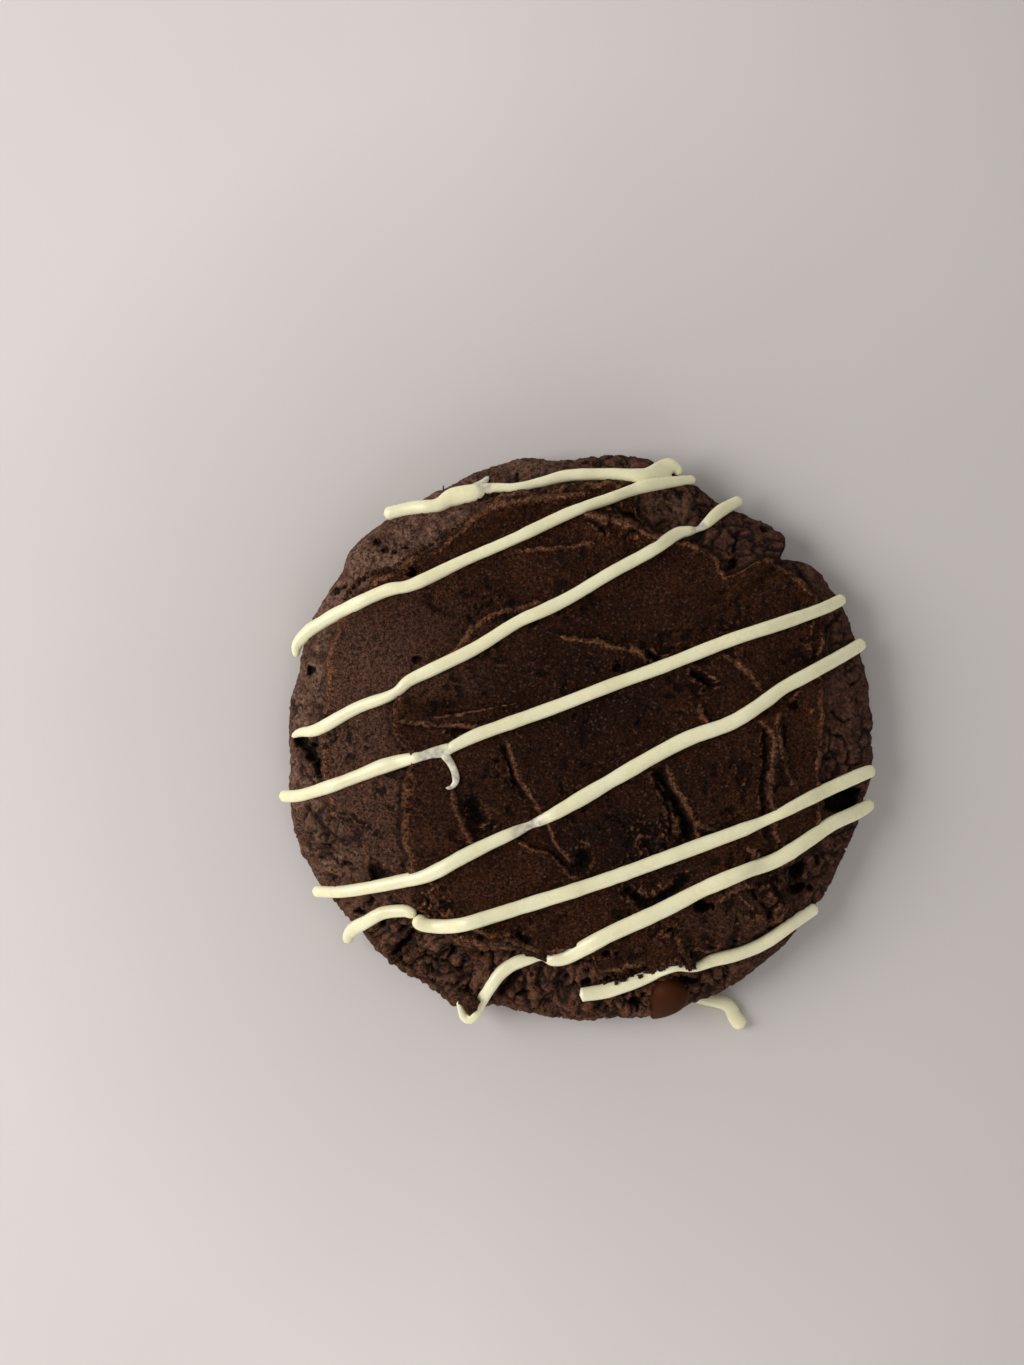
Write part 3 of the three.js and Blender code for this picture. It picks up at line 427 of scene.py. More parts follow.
def turned(x, y, cx, cy, turn):
    """How far each (x, y) is from (cx, cy), along a line turned by turn and across it."""
    c, s = math.cos(math.radians(turn)), math.sin(math.radians(turn))
    return (x - cx) * c + (y - cy) * s, (y - cy) * c - (x - cx) * s


def bell(value, middle, width):
    """1 where value is middle, fading to 0 over about width to both sides."""
    return np.exp(-(((value - middle) / width) ** 2))


def raise_to(values, which, least):
    """Raises the values at some of the points to at least least."""
    values[which] = np.maximum(values[which], least)


def patches(x, y, spots):
    """The strongest at each (x, y) of soft spots: [share, x, y, half length, half width, turn]."""
    strongest = np.zeros(len(x))
    for share, cx, cy, half_length, half_width, turn in spots:
        along, across = turned(x, y, cx, cy, turn)
        spot = np.exp(-((along / half_length) ** 2) - (across / half_width) ** 2)
        strongest = np.maximum(strongest, share * spot)
    return strongest


def scoop(x, y, pit, seed):
    """How deep a pit is at each (x, y), as a share of its depth, with a ragged edge."""
    px, py, length, width, _, turn = pit
    along, across = turned(x, y, px, py, turn)
    ragged = 1 + 0.45 * rough(x, y, seed, 1.1, 3, seed)
    out_to = np.hypot(along / (0.5 * length), across / (0.5 * width)) * ragged
    return 1 - smoothstep(0.72, 1.04, out_to)


OUTLINE_CURVE = closed_curve(OUTLINE)
ICING_CURVE = closed_curve(ICING_EDGE)
EDGE_HEIGHT_CURVE = closed_curve(EDGE_HEIGHT)
CRUMBLE_CURVE = closed_curve(CRUMBLE)


def dome_height(share):
    """Height of the cookie's top, without its relief, at a share of the outline's radius."""
    rise = np.sqrt(np.maximum(0, 1 - np.abs(share) ** DOME_POWER))
    return WIDEST_LEVEL + (COOKIE_TOP - WIDEST_LEVEL) * rise


def cookie_top(x, y):
    return dome_height(np.hypot(x, y) / read_curve(OUTLINE_CURVE, x, y))


def icing_edge(x, y):
    """Radius of the icing's edge, with its fine raggedness."""
    edge = read_curve(ICING_CURVE, x, y)
    turn = np.arctan2(y, x)
    ex, ey = edge * np.cos(turn), edge * np.sin(turn)
    return edge + 0.5 * rough(ex, ey, 0, 2.4, 4, 11, 0.65)


def stands_out(height, reach, closed):
    """How far each point of a grid stands above the mean of its neighbours within reach steps.
    closed is True where the grid's second axis runs round and joins up."""
    mean = height
    for axis in (0, 1):
        total = np.zeros(height.shape)
        for step in range(-reach, reach + 1):
            if axis == 1 and closed:
                total += np.roll(mean, step, axis=1)
            else:
                at = np.clip(np.arange(height.shape[axis]) + step, 0, height.shape[axis] - 1)
                total += np.take(mean, at, axis=axis)
        mean = total / (2 * reach + 1)
    return height - mean


# ---- the icing's surface ----


def cut_ledges(x, y, relief, crest, recess_shade):
    """The steps of the knife's strokes, with a torn, rusty lip and painted shade along the foot."""
    for n, (rise, reach, lip_height, path) in enumerate(LEDGES):
        which, away, along, length = near_path(path, x, y, 3 * reach + 1.5)
        wx, wy = x[which], y[which]
        # The edge wanders, and its lip is torn away here and there.
        jagged = np.abs(rough(wx, wy, n, 1.1, 3, 60 + n, 0.6)) - 0.25
        away = away + (0.12 + 0.35 * lip_height) * rough(wx, wy, n, 2.2, 4, 40 + n, 0.6)
        away = away + (0.12 + 0.45 * lip_height) * jagged
        ends = end_fade(along, length, 2.4)
        torn = 0.6 + 0.4 * rise + 0.65 * rough(wx, wy, n, 1.5, 2, 80 + n)
        torn = np.clip(torn, 0.1, 1.2)
        step = smoothstep(-0.45, 0.08, away)
        back = np.exp(-np.maximum(away - 0.3, 0) / reach) * smoothstep(3 * reach, reach, away)
        outer = bell(np.minimum(away - 0.08, 0), 0, 0.16 + 0.2 * lip_height)
        inner_side = np.exp(-np.maximum(away - 0.08, 0) / (0.2 + 0.8 * lip_height))
        lip = outer * inner_side * torn
        face = bell(away, -0.25, 0.3) * min(1, rise) * min(1, 0.3 + 2 * lip_height)
        foot = bell(away, -0.95, 0.6)
        up = 1.3 * rise * step * back + 1.2 * lip_height * lip - 0.1 * rise * foot
        relief[which] += ends * up
        rusty = np.maximum(lip * min(1, 1.8 * lip_height + 0.45), 0.75 * face * torn)
        rusty = np.maximum(rusty, bell(away, 0.05, 0.3) * torn * min(1, 0.4 + 1.2 * lip_height))
        # The tallest ledges are the broken edges of slabs, rusty over a wider band.
        broken = bell(away, 0.35, 0.6) * smoothstep(1.0, 1.3, rise)
        broken = 0.5 * broken * np.clip(0.7 + 0.9 * rough(wx, wy, n, 1.2, 3, 180 + n), 0, 1)
        raise_to(crest, which, ends * np.maximum(rusty, broken))
        # Painted shade in a band along the foot of each step.
        shaded = bell(away, -0.6, 0.35) * min(1, rise) * min(1, 0.2 + 1.6 * lip_height)
        raise_to(recess_shade, which, 0.7 * ends * shaded)


def cut_gouges(x, y, relief, crest, recess_shade, damp):
    """The gouges, darkened with painted shade, moist around them and with a thin rusty rim."""
    for n, (width, depth, path) in enumerate(GOUGES):
        which, away, along, length = near_path(path, x, y, 2.5 * width + 1)
        ragged = 1 + 0.45 * rough(x[which], y[which], n, 1.2, 2, 140 + n)
        open_to = np.abs(away) / (0.5 * width) * ragged
        ends = end_fade(along, length, 1.6)
        carved = bell(open_to, 0, 1.05) * ends
        relief[which] -= 1.3 * depth * carved
        raise_to(recess_shade, which, np.minimum(1, 1.3 * carved) * min(1, depth + 0.25))
        raise_to(crest, which, 0.3 * (bell(open_to, 1.45, 0.3) * ends))
        raise_to(damp, which, 0.8 * bell(open_to, 0, 2.2))


def icing_surface(x, y):
    """The icing's height at each (x, y), with the fields of its material: how much it is a torn
    crest, how much painted shade darkens it in recesses, how damp it is, how much paler it is
    (partly painted light from the left, partly a drier icing) and how much painted shade darkens
    its middle."""
    inset = icing_edge(x, y) - np.hypot(x, y)
    edge_height = read_curve(EDGE_HEIGHT_CURVE, x, y)
    rolled = np.sqrt(1 - (1 - np.clip(inset / 1.3, 0, 1)) ** 2)
    body = edge_height + (ICING_THICKNESS - edge_height) * smoothstep(0.5, 13, inset)
    relief = 0.16 * rough(x, y, 3, 9, 2, 21) + 0.07 * rough(x, y, 3, 2.2, 2, 22)
    relief += 0.035 * bumps(x, y, 3, 0.8, 23)
    crest, recess_shade, damp = np.zeros((3, len(x)))
    cut_ledges(x, y, relief, crest, recess_shade)
    cut_gouges(x, y, relief, crest, recess_shade, damp)
    around_hole = np.zeros(len(x))
    # Holes are carved down and darkened inside with painted shade.
    for n, hole in enumerate(HOLES):
        carved = scoop(x, y, hole, 200 + n)
        from_hole = np.hypot(x - hole[0], y - hole[1])
        around_hole = np.maximum(around_hole, bell(from_hole, 0, hole[2]))
        relief -= hole[4] * carved
        recess_shade = np.maximum(recess_shade, carved * min(1, 0.35 + 0.6 * hole[4]))
    # Where it is wet it is rough, with pocks between the lumps darkened with painted shade, and the
    # whole wet spot is darker.
    damp = np.maximum(damp, patches(x, y, WET))
    pocked = np.abs(rough(x, y, 5, 1.3, 3, 25, 0.7))
    relief += 0.8 * damp * (np.minimum(pocked, 0.6) - 0.3)
    recess_shade = np.maximum(recess_shade, damp * np.maximum(0.35, smoothstep(0.14, 0.0, pocked)))
    # Torn-up piles are folded over and over, with painted shade in the creases between the folds.
    warp = 0.8 * rough(x, y, 4, 2.2, 2, 33)
    folded = np.abs(rough(x + warp, y - warp, 8, 3.0, 3, 26, 0.6))
    messy = patches(x, y, MESSY)
    relief += 2.1 * messy * (np.minimum(folded, 0.8) - 0.25)
    recess_shade = np.maximum(recess_shade, np.minimum(1, 1.3 * messy) * smoothstep(0.13, 0.02, folded))
    crest = np.maximum(crest, 0.55 * messy * smoothstep(0.45, 0.75, folded))
    # The left is paler, up to the edge of the slab on it: partly painted light falling from the
    # left, partly a drier icing. It is also more pebbled.
    slab_x, slab_y = np.array(LEDGES[0][3])[::-1].T
    slab = smoothstep(7.5, 5.5, y) * smoothstep(-0.6, 0.4, x - np.interp(y, slab_y, slab_x))
    lit_and_pale = smoothstep(-6, -36, x) * (1 - 0.8 * slab) * smoothstep(30, 8, y)
    lit_and_pale = np.maximum(lit_and_pale, patches(x, y, DRY))
    relief += (0.04 + 0.11 * lit_and_pale) * bumps(x, y, 6, 1.1, 27)
    relief += (0.02 + 0.08 * lit_and_pale) * bumps(x, y, 6, 0.6, 28)
    # Small pocks all over, darkened with painted shade.
    pocks = smoothstep(0.42, 0.54, rough(x, y, 9, 1.3, 3, 36, 0.6))
    pocks = pocks * smoothstep(-0.1, 0.3, bumps(x, y, 9, 7, 37))
    relief -= 0.22 * pocks
    recess_shade = np.maximum(recess_shade, 0.8 * pocks)
    # A broken ridge runs along the icing's edge.
    edge_line = bell(inset, 0.75, 0.4)
    broken = np.clip(0.55 + rough(x, y, 2, 2.0, 2, 31), 0, 1)
    crest = np.maximum(crest, 0.9 * edge_line * broken)
    ridge = edge_line * np.clip(0.6 + 0.9 * rough(x, y, 7, 2.0, 3, 34, 0.6), 0, 1.4)
    relief += 0.16 * ridge
    bottom = cookie_top(x, y)
    height = bottom + rolled * body + smoothstep(0, 2.5, inset) * relief + 0.3 * ridge
    height = np.maximum(height, bottom + 0.12 * rolled)
    # What stands out is rubbed rusty, and what lies low is darkened with painted shade.
    proud = stands_out(height.reshape(ICING_GRID, ICING_GRID), 2, False).ravel()
    rubbed = smoothstep(0.08, 0.2, proud) * smoothstep(0.3, 1.2, inset) * (1 - around_hole)
    crest = np.maximum(crest, 0.8 * rubbed)
    recess_shade = np.maximum(recess_shade, 0.8 * smoothstep(0.07, 0.24, -proud))
    # Painted shade: the middle of the icing is darker than the rest.
    deep = patches(x, y, MIDDLE_SHADE)
    return height, {"crest": crest, "recess_shade": recess_shade, "damp": damp, "lit_and_pale": lit_and_pale, "deep": deep}


# ---- the cookie's surface ----


def cookie_relief(x, y, z, inset):
    """How far the cookie's skin stands out at each point of its bare rim and side, how deep it is
    pitted straight down, and how much painted shade darkens its recesses. inset is the distance
    out from the icing."""
    bare = smoothstep(-1.2, 0.6, inset)
    crumble = read_curve(CRUMBLE_CURVE, x, y)
    outline = read_curve(OUTLINE_CURVE, x, y)
    share = np.hypot(x, y) / outline
    # The side's lower band is smoother, where it was pressed against the tray.
    band = smoothstep(7.2, 4.6, z)
    crackled = smoothstep(0.14, 0.28, crumble)
    crumble = crumble * (1 - 0.65 * band)
    warp = [0.9 * rough(x, y, z, 2.4, 2, seed) for seed in (301, 302, 303)]
    wx, wy, wz = x + warp[0], y + warp[1], z + warp[2]
    lumps = rough(x, y, z, 5.0, 2, 304, 0.5)
    mounds = np.abs(rough(wx, wy, wz, 5.0, 3, 305, 0.55))
    knobs = np.abs(rough(wx, wy, wz, 1.6, 3, 306, 0.65))
    knobs = knobs * (0.4 + 0.6 * smoothstep(-24, -14, x))
    grit = rough(x, y, z, 1.0, 4, 307, 0.8)
    gash = smoothstep(0.1, 0.02, mounds) * smoothstep(0.25, 0.8, crumble)
    crease = smoothstep(0.09, 0.0, knobs) * smoothstep(0.1, 0.6, crumble)
    torn = rough(wx, wy, wz, 2.3, 4, 308, 0.7)
    lumpy = 1.2 * np.minimum(mounds, 0.7) + 0.25 * np.minimum(knobs, 0.7) - 0.4
    out = 0.34 * lumps + crumble * lumpy
    out += 0.4 * crumble * torn + (0.09 + 0.22 * crumble) * grit - 0.5 * gash
    # Fine crackle all over the baked skin: thin lines round plates a few millimetres across.
    plates = crumbs_of(x + warp[1], y + warp[2], z + warp[0], 2.9, 311)
    line = smoothstep(0.2, 0.03, plates) * smoothstep(-0.5, 0.0, bumps(x, y, z, 5, 312))
    line = line * crackled
    out -= 0.3 * line
    # Painted shade: darker in the crackle lines, gashes and creases, and in a band just outside the
    # icing's edge, where the icing overhangs the rim.
    recess_shade = np.maximum(0.85 * line, np.maximum(gash, 0.4 * crease))
    recess_shade = np.maximum(recess_shade, 0.55 * bell(inset, 0.15, 0.4))
    on_top = smoothstep(0.995, 0.97, share) * smoothstep(3.5, 5.0, z)
    # Pits, cracks and the broken-out block are cut down and darkened inside with painted shade.
    cut = np.zeros(len(x))
    for n, pit in enumerate(PITS):
        carved = scoop(x, y, pit, 330 + n) * on_top
        cut = np.maximum(cut, pit[4] * carved)
        recess_shade = np.maximum(recess_shade, carved * min(1, 0.5 + 0.5 * pit[4]))
    for n, (width, depth, path) in enumerate(CRACKS):
        which, away, along, length = near_path(path, x, y, 2 * width + 0.6)
        wobble = away + 0.25 * rough(x[which], y[which], n, 1.0, 2, 380 + n)
        carved = bell(wobble, 0, 0.5 * width) * end_fade(along, length, 0.8)
        carved = carved * on_top[which]
        raise_to(cut, which, depth * carved)
        raise_to(recess_shade, which, carved)
    bx, by, length, width, depth, turn = BLOCK_NOTCH
    ragged = 0.25 * rough(x, y, z, 1.2, 2, 420)
    along, across = turned(x, y, bx, by, turn)
    along, across = np.abs(along) + ragged, np.abs(across) + ragged
    block = 1 - smoothstep(0.5 * length - 0.5, 0.5 * length + 0.1, along)
    block = block * (1 - smoothstep(0.5 * width - 0.45, 0.5 * width + 0.1, across))
    cut = np.maximum(cut, depth * block)
    recess_shade = np.maximum(recess_shade, block)
    return out * bare, cut * smoothstep(-2.5, -1.0, inset), recess_shade * bare


# ---- meshes ----


def add_piece(name, points, faces, material, fields):
    """A smooth-shaded piece from points in millimetres, with a value at each point for each
    named field. The materials read the fields."""
    mesh = bpy.data.meshes.new(name)
    mesh.from_pydata((points * MM).tolist(), [], faces)
    mesh.polygons.foreach_set("use_smooth", np.ones(len(mesh.polygons), bool))
    for field, values in fields.items():
        attribute = mesh.attributes.new(field, "FLOAT", "POINT")
        attribute.data.foreach_set("value", np.asarray(values, np.float32))
    mesh.materials.append(material)
    mesh.update()
    piece = bpy.data.objects.new(name, mesh)
    bpy.context.scene.collection.objects.link(piece)
    return piece


def ring_faces(rings, count, first=0):
    """Quads between rings of count points each, facing out when the rings climb."""
    ring, j = np.meshgrid(np.arange(rings - 1), np.arange(count), indexing="ij")
    a = first + ring * count + j
    b = first + ring * count + (j + 1) % count
    return np.stack([a, b, b + count, a + count], axis=-1).reshape(-1, 4)


def fan_faces(first, count, middle, outward):
    """Triangles from a ring to a middle point."""
    a = first + np.arange(count)
    b = first + (np.arange(count) + 1) % count
    middle = np.full(count, middle)
    order = (a, b, middle) if outward else (b, a, middle)
    return np.stack(order, axis=-1)


def skin_faces(rings, around):
    """Faces of a closed skin of rings whose points are followed by a middle for each end."""
    middle = rings * around
    faces = ring_faces(rings, around).tolist()
    faces += fan_faces(0, around, middle, False).tolist()
    return faces + fan_faces(middle - around, around, middle + 1, True).tolist()


def shifted(faces, start):
    """The faces, with their points counted on from start."""
    return [[corner + start for corner in face] for face in faces]


COOKIE_AROUND = 900  # points round the cookie
FOOT_RINGS = [0.35, 0.7, 0.9, 0.985]  # shares of the foot's radius on the underside
LOWER_RINGS = 22
RIM_RINGS = 58
UNDER_RINGS = 7
FOOT_WANDER = 0.006  # how far the foot's outline wanders, as a share of its radius
FOOT_ROUNDING = 0.1  # height of the rounding of the foot above the table
FOOT_LEAN = 40  # how far the relief of the lower side leans down
TUCK = 2.5  # how far the fine skin reaches in under the icing


def build_cookie(material):
    """The baked cookie as one closed skin, from the middle of its foot to the middle of its top."""
    angle = np.radians(np.arange(COOKIE_AROUND) * 360 / COOKIE_AROUND)
    cos, sin = np.cos(angle), np.sin(angle)
    outline = read_curve(OUTLINE_CURVE, cos, sin)
    edge = icing_edge(cos, sin)
    foot = FOOT_SHARE * outline * (1 + FOOT_WANDER * rough(cos * 40, sin * 40, 0, 6, 3, 501))
    radii = [foot * share for share in FOOT_RINGS]
    levels = [np.zeros(COOKIE_AROUND)] * len(FOOT_RINGS)
    tilts = [np.full(COOKIE_AROUND, -math.pi / 2)] * len(FOOT_RINGS)
    weights = [0.0] * len(FOOT_RINGS)
    for turn in np.linspace(4, 90, LOWER_RINGS, endpoint=False):
        s, c = math.sin(math.radians(turn)), math.cos(math.radians(turn))
        radii.append(foot + (outline - foot) * s)
        level = FOOT_ROUNDING + (WIDEST_LEVEL - FOOT_ROUNDING) * (1 - c)
        levels.append(np.full(COOKIE_AROUND, level))
        tilts.append(np.full(COOKIE_AROUND, -math.radians(FOOT_LEAN) * c))
        weights.append(min(1.0, 0.15 + turn / 50))
    inner = (edge - TUCK) / outline
    for step in np.linspace(0, 1, RIM_RINGS):
        # Even steps round the shoulder: a quarter turn that ends under the icing.
        round_to = np.arccos(np.clip(inner, 0, 1)) * step
        share = np.cos(round_to)
        radii.append(share * outline)
        levels.append(dome_height(share))
        tilts.append(math.pi / 2 * np.sqrt(1 - share**DOME_POWER) ** 0.8)
        weights.append(1.0)
    for step in range(1, UNDER_RINGS + 1):
        share = inner * (1 - step / (UNDER_RINGS + 1))
        radii.append(share * outline)
        levels.append(dome_height(share))
        tilts.append(np.full(COOKIE_AROUND, math.pi / 2))
        weights.append(0.0)
    radius, level, tilt = np.array(radii), np.array(levels), np.array(tilts)
    weight = np.array(weights)[:, None]
    x, y = (radius * cos).ravel(), (radius * sin).ravel()
    z = level.ravel()
    inset = (radius - edge).ravel()
    out, cut, recess_shade = cookie_relief(x, y, z, inset)
    cut = cut.reshape(radius.shape) * weight
    out = out.reshape(radius.shape) * weight
    proud = stands_out(out, 3, True).ravel()
    broad = stands_out(out, 9, True).ravel()
    torn = 0.9 * smoothstep(0.08, 0.3, proud)
    # Painted shade in the low places between the lumps.
    recess_shade = np.maximum(recess_shade, smoothstep(0.07, 0.32, -proud))
    recess_shade = np.maximum(recess_shade, smoothstep(0.25, 0.9, -broad))
    reach = radius + out * np.cos(tilt)
    height = np.maximum(0, level + out * np.sin(tilt) - cut)
    points = np.stack([reach * cos, reach * sin, height], axis=-1).reshape(-1, 3)
    points = np.vstack([points, [[0, 0, 0], [0, 0, COOKIE_TOP]]])
    fields = {"crest": np.append(torn, [0, 0]), "recess_shade": np.append(recess_shade, [0, 0])}
    faces = skin_faces(len(radii), COOKIE_AROUND)
    return add_piece("baked_cookie", points, faces, material, fields)


def disc_grid(count):
    """Points of a square grid laid evenly over a disc of radius 1: their angle and radius."""
    line = np.linspace(-1, 1, count)
    a, b = np.meshgrid(line, line, indexing="xy")
    wide = np.abs(a) >= np.abs(b)
    with np.errstate(divide="ignore", invalid="ignore"):
        radius = np.where(wide, a, b)
        ratio = np.where(wide, b / a, a / b)
    ratio = np.nan_to_num(ratio)
    angle = np.where(wide, math.pi / 4 * ratio, math.pi / 2 - math.pi / 4 * ratio)
    return angle.ravel(), radius.ravel()


SKIRT = ((0.15, 0.35), (0.5, 1.0))  # how far in and down each ring under the edge lies
UNDERSIDE = (0.85, 0.55, 0.25)  # shares of the edge's radius at the rings of the underside


def build_icing(material):
    """The icing as one closed skin: a fine top, a skirt and a coarse underside in the cookie."""
    angle, radius = disc_grid(ICING_GRID)
    cos, sin = np.cos(angle) * np.sign(radius), np.sin(angle) * np.sign(radius)
    share = np.abs(radius)
    edge = icing_edge(cos, sin)
    x, y = share * edge * cos, share * edge * sin
    height, fields = icing_surface(x, y)
    top = np.stack([x, y, height], axis=-1)
    n = ICING_GRID
    index = np.arange(n * n).reshape(n, n)
    a, b = index[:-1, :-1].ravel(), index[:-1, 1:].ravel()
    c, d = index[1:, 1:].ravel(), index[1:, :-1].ravel()
    faces = np.stack([a, b, c, d], axis=-1).tolist()
    border = np.concatenate([index[0, :-1], index[:-1, -1], index[-1, :0:-1], index[:0:-1, 0]])
    around = len(border)
    rim = top[border]
    rings = [top]
    for inward, drop in SKIRT:
        ring = rim.copy()
        length = np.hypot(rim[:, 0], rim[:, 1])
        ring[:, :2] *= ((length - inward) / length)[:, None]
        ring[:, 2] = cookie_top(ring[:, 0], ring[:, 1]) - drop
        rings.append(ring)
    for kept in UNDERSIDE:
        ring = rim * kept
        ring[:, 2] = cookie_top(ring[:, 0], ring[:, 1]) - ICING_SINK
        rings.append(ring)
    first = n * n
    faces += np.stack([np.roll(border, -1), border, first + np.arange(around),
                       first + (np.arange(around) + 1) % around], axis=-1).tolist()
    below = len(SKIRT) + len(UNDERSIDE)
    faces += ring_faces(below, around, first).tolist()
    last = first + below * around
    faces += fan_faces(last - around, around, last, True).tolist()
    points = np.vstack([*rings, [[0, 0, COOKIE_TOP - ICING_SINK]]])
    extra = np.zeros(len(points) - n * n)
    fields = {name: np.concatenate([values, extra]) for name, values in fields.items()}
    return add_piece("spread_icing", points, faces, material, fields)


STRAND_STEP = 0.34  # distance between the rings of a strand
STRAND_SIDES = 20
SAG_START = 0.965  # share of the outline's radius past which a strand end sags
SAG_SLOPE = 0.9
ABOVE_ALL = 0.05  # a height in metres from which the surfaces are looked for
DECK_SINK = 0.15  # the least that a strand sinks into the dome where the icing is thin
CUT_BLUNTNESS = 0.12  # length of a cut end's rounding as a share of a whole end's
STRAND_ROOT = 0.2  # share of its height by which a strand sinks into what it lies on
FALLEN_HEIGHT = 1.7


def ground(trees, x, y):
    """Height of the topmost surface under each (x, y), or NaN where there is none."""
    heights = []
    for px, py in zip(x, y):
        above, down = Vector((px * MM, py * MM, ABOVE_ALL)), Vector((0, 0, -1))
        found = [tree.ray_cast(above, down)[0] for tree in trees]
        tops = [hit.z / MM for hit in found if hit is not None]
        heights.append(max(tops) if tops else math.nan)
    return np.array(heights)


def strand_deck(trees, x, y):
    """What a strand lies on at each (x, y), sagging past the shoulder of the cookie."""
    radius = np.hypot(x, y)
    outline = read_curve(OUTLINE_CURVE, x, y)
    kept = np.minimum(1, SAG_START * outline / radius)
    level = ground(trees, x * kept, y * kept)
    dome = dome_height(kept * radius / outline)
    level = np.fmax(level, dome - DECK_SINK)
    return level - SAG_SLOPE * np.maximum(0, radius - SAG_START * outline)


def soften(values, reach):
    """A moving average over reach samples on each side, weighted to the middle."""
    weights = np.hanning(2 * reach + 3)[1:-1]
    padded = np.pad(values, reach, mode="edge")
    return np.convolve(padded, weights / weights.sum(), mode="valid")


def sweep_bead(points, width, height, level, seed, cut_last=False):
    """Points and faces of a rounded bead along points, its middle at level."""
    ahead = np.gradient(points, axis=0)
    ahead /= np.linalg.norm(ahead, axis=1)[:, None]
    across = np.stack([-ahead[:, 1], ahead[:, 0]], axis=-1)
    gone = np.concatenate([[0], np.cumsum(np.linalg.norm(np.diff(points, axis=0), axis=1))])
    ends = np.array([1.0, CUT_BLUNTNESS if cut_last else 1.0])
    cap = 0.5 * np.array([width[0], width[-1]]) * ends
    from_start = np.clip(gone / cap[0], 0, 1)
    from_end = np.clip((gone[-1] - gone) / cap[1], 0, 1)
    blunt = np.sqrt(1 - (1 - from_start) ** 2) * np.sqrt(1 - (1 - from_end) ** 2)
    blunt = np.maximum(blunt, 0.02)
    turn = np.linspace(0, 2 * math.pi, STRAND_SIDES, endpoint=False)[::-1]
    side = np.sign(np.cos(turn)) * np.abs(np.cos(turn)) ** 0.9
    up = np.sin(turn)
    half_width = 0.5 * width * blunt
    half_height = 0.5 * height * blunt
    x = points[:, 0:1] + across[:, 0:1] * half_width[:, None] * side
    y = points[:, 1:2] + across[:, 1:2] * half_width[:, None] * side
    z = level[:, None] + half_height[:, None] * up
    wave = 1 + 0.02 * bumps(x, y, z, 1.6, seed)
    z = level[:, None] + (z - level[:, None]) * wave
    ring_points = np.stack([x, y, z], axis=-1).reshape(-1, 3)
    middles = [[*points[0], level[0]], [*points[-1], level[-1]]]
    return np.vstack([ring_points, middles]), skin_faces(len(points), STRAND_SIDES)


def thin_share(x, y):
    """How thin and glassy the white chocolate is at each (x, y), from 0 to 1."""
    share = np.zeros(len(x))
    for cx, cy, reach in THIN_SPOTS:
        share = np.maximum(share, 1 - smoothstep(0.45 * reach, reach, np.hypot(x - cx, y - cy)))
    return share


def build_strands(trees, material):
    """All the white strands on the cookie, as one mesh of closed beads."""
    points, faces = [], []
    for n, path in enumerate(STRANDS):
        line = smooth_path(path, STRAND_STEP)
        x, y, width = line.T
        ahead = np.gradient(line[:, :2], axis=0)
        ahead /= np.linalg.norm(ahead, axis=1)[:, None]
        side = 0.32 * width
        decks = [strand_deck(trees, x - s * ahead[:, 1], y + s * ahead[:, 0])
                 for s in (-side, 0, side)]
        deck = soften(np.mean(decks, axis=0), 8)
        width = width * (1 + 0.05 * bumps(x, y, n, 3.5, 601) + 0.03 * bumps(x, y, n, 1.2, 602))
        height = STRAND_HEIGHT * np.minimum(1.12, 0.3 + 0.37 * width) * 1.2
        height = height * (1 - 0.4 * thin_share(x, y))
        level = deck + 0.5 * height - STRAND_ROOT * height
        bead, bead_faces = sweep_bead(line[:, :2], width, height, level, 610 + n, n == CUT_END)
        faces += shifted(bead_faces, sum(map(len, points)))
        points.append(bead)
    points = np.vstack(points)
    fields = {"thin": thin_share(points[:, 0], points[:, 1])}
    return add_piece("white_strands", points, faces, material, fields)


def build_fallen_strand(material):
    """The piece of strand at the foot of the cookie."""
    line = smooth_path(FALLEN_STRAND, STRAND_STEP)
    x, y, width = line.T
    width = width * (1 + 0.05 * bumps(x, y, 0, 3, 651))
    height = np.full(len(width), FALLEN_HEIGHT)
    level = np.full(len(width), FALLEN_LEVEL)
    points, faces = sweep_bead(line[:, :2], width, height, level, 652)
    return add_piece("fallen_strand", points, faces, material, {"thin": np.zeros(len(points))})


def build_chip(material):
    """A smooth teardrop, wide at the top and drawn out downwards along the cookie's side."""
    rings, around = 44, 56
    t = (1 - np.cos(np.linspace(0, math.pi, rings + 2)[1:-1])) / 2  # 0 at the top, 1 at the tip
    girth = 2 * np.sqrt(t * (1 - t)) * (1.3 - 0.92 * t)
    top, tip = np.array(CHIP_TOP), np.array(CHIP_TIP)
    axis = (tip - top) / np.linalg.norm(tip - top)
    across = np.cross(axis, (0, 0, 1))
    across /= np.linalg.norm(across)
    out = np.cross(across, axis)
    turn = np.linspace(0, 2 * math.pi, around, endpoint=False)
    wide = 0.5 * CHIP_WIDTH * girth[:, None] * np.cos(turn)
    deep = 0.5 * CHIP_DEPTH * girth[:, None] * np.sin(turn)
    points = (top + (tip - top) * t[:, None, None] + wide[..., None] * across
              + deep[..., None] * out).reshape(-1, 3)
    points += 0.05 * rough(*points.T, 2.6, 2, 701)[:, None] * out
    points = np.vstack([points, top, tip])
    return add_piece("chocolate_chip", points, skin_faces(rings, around), material, {})


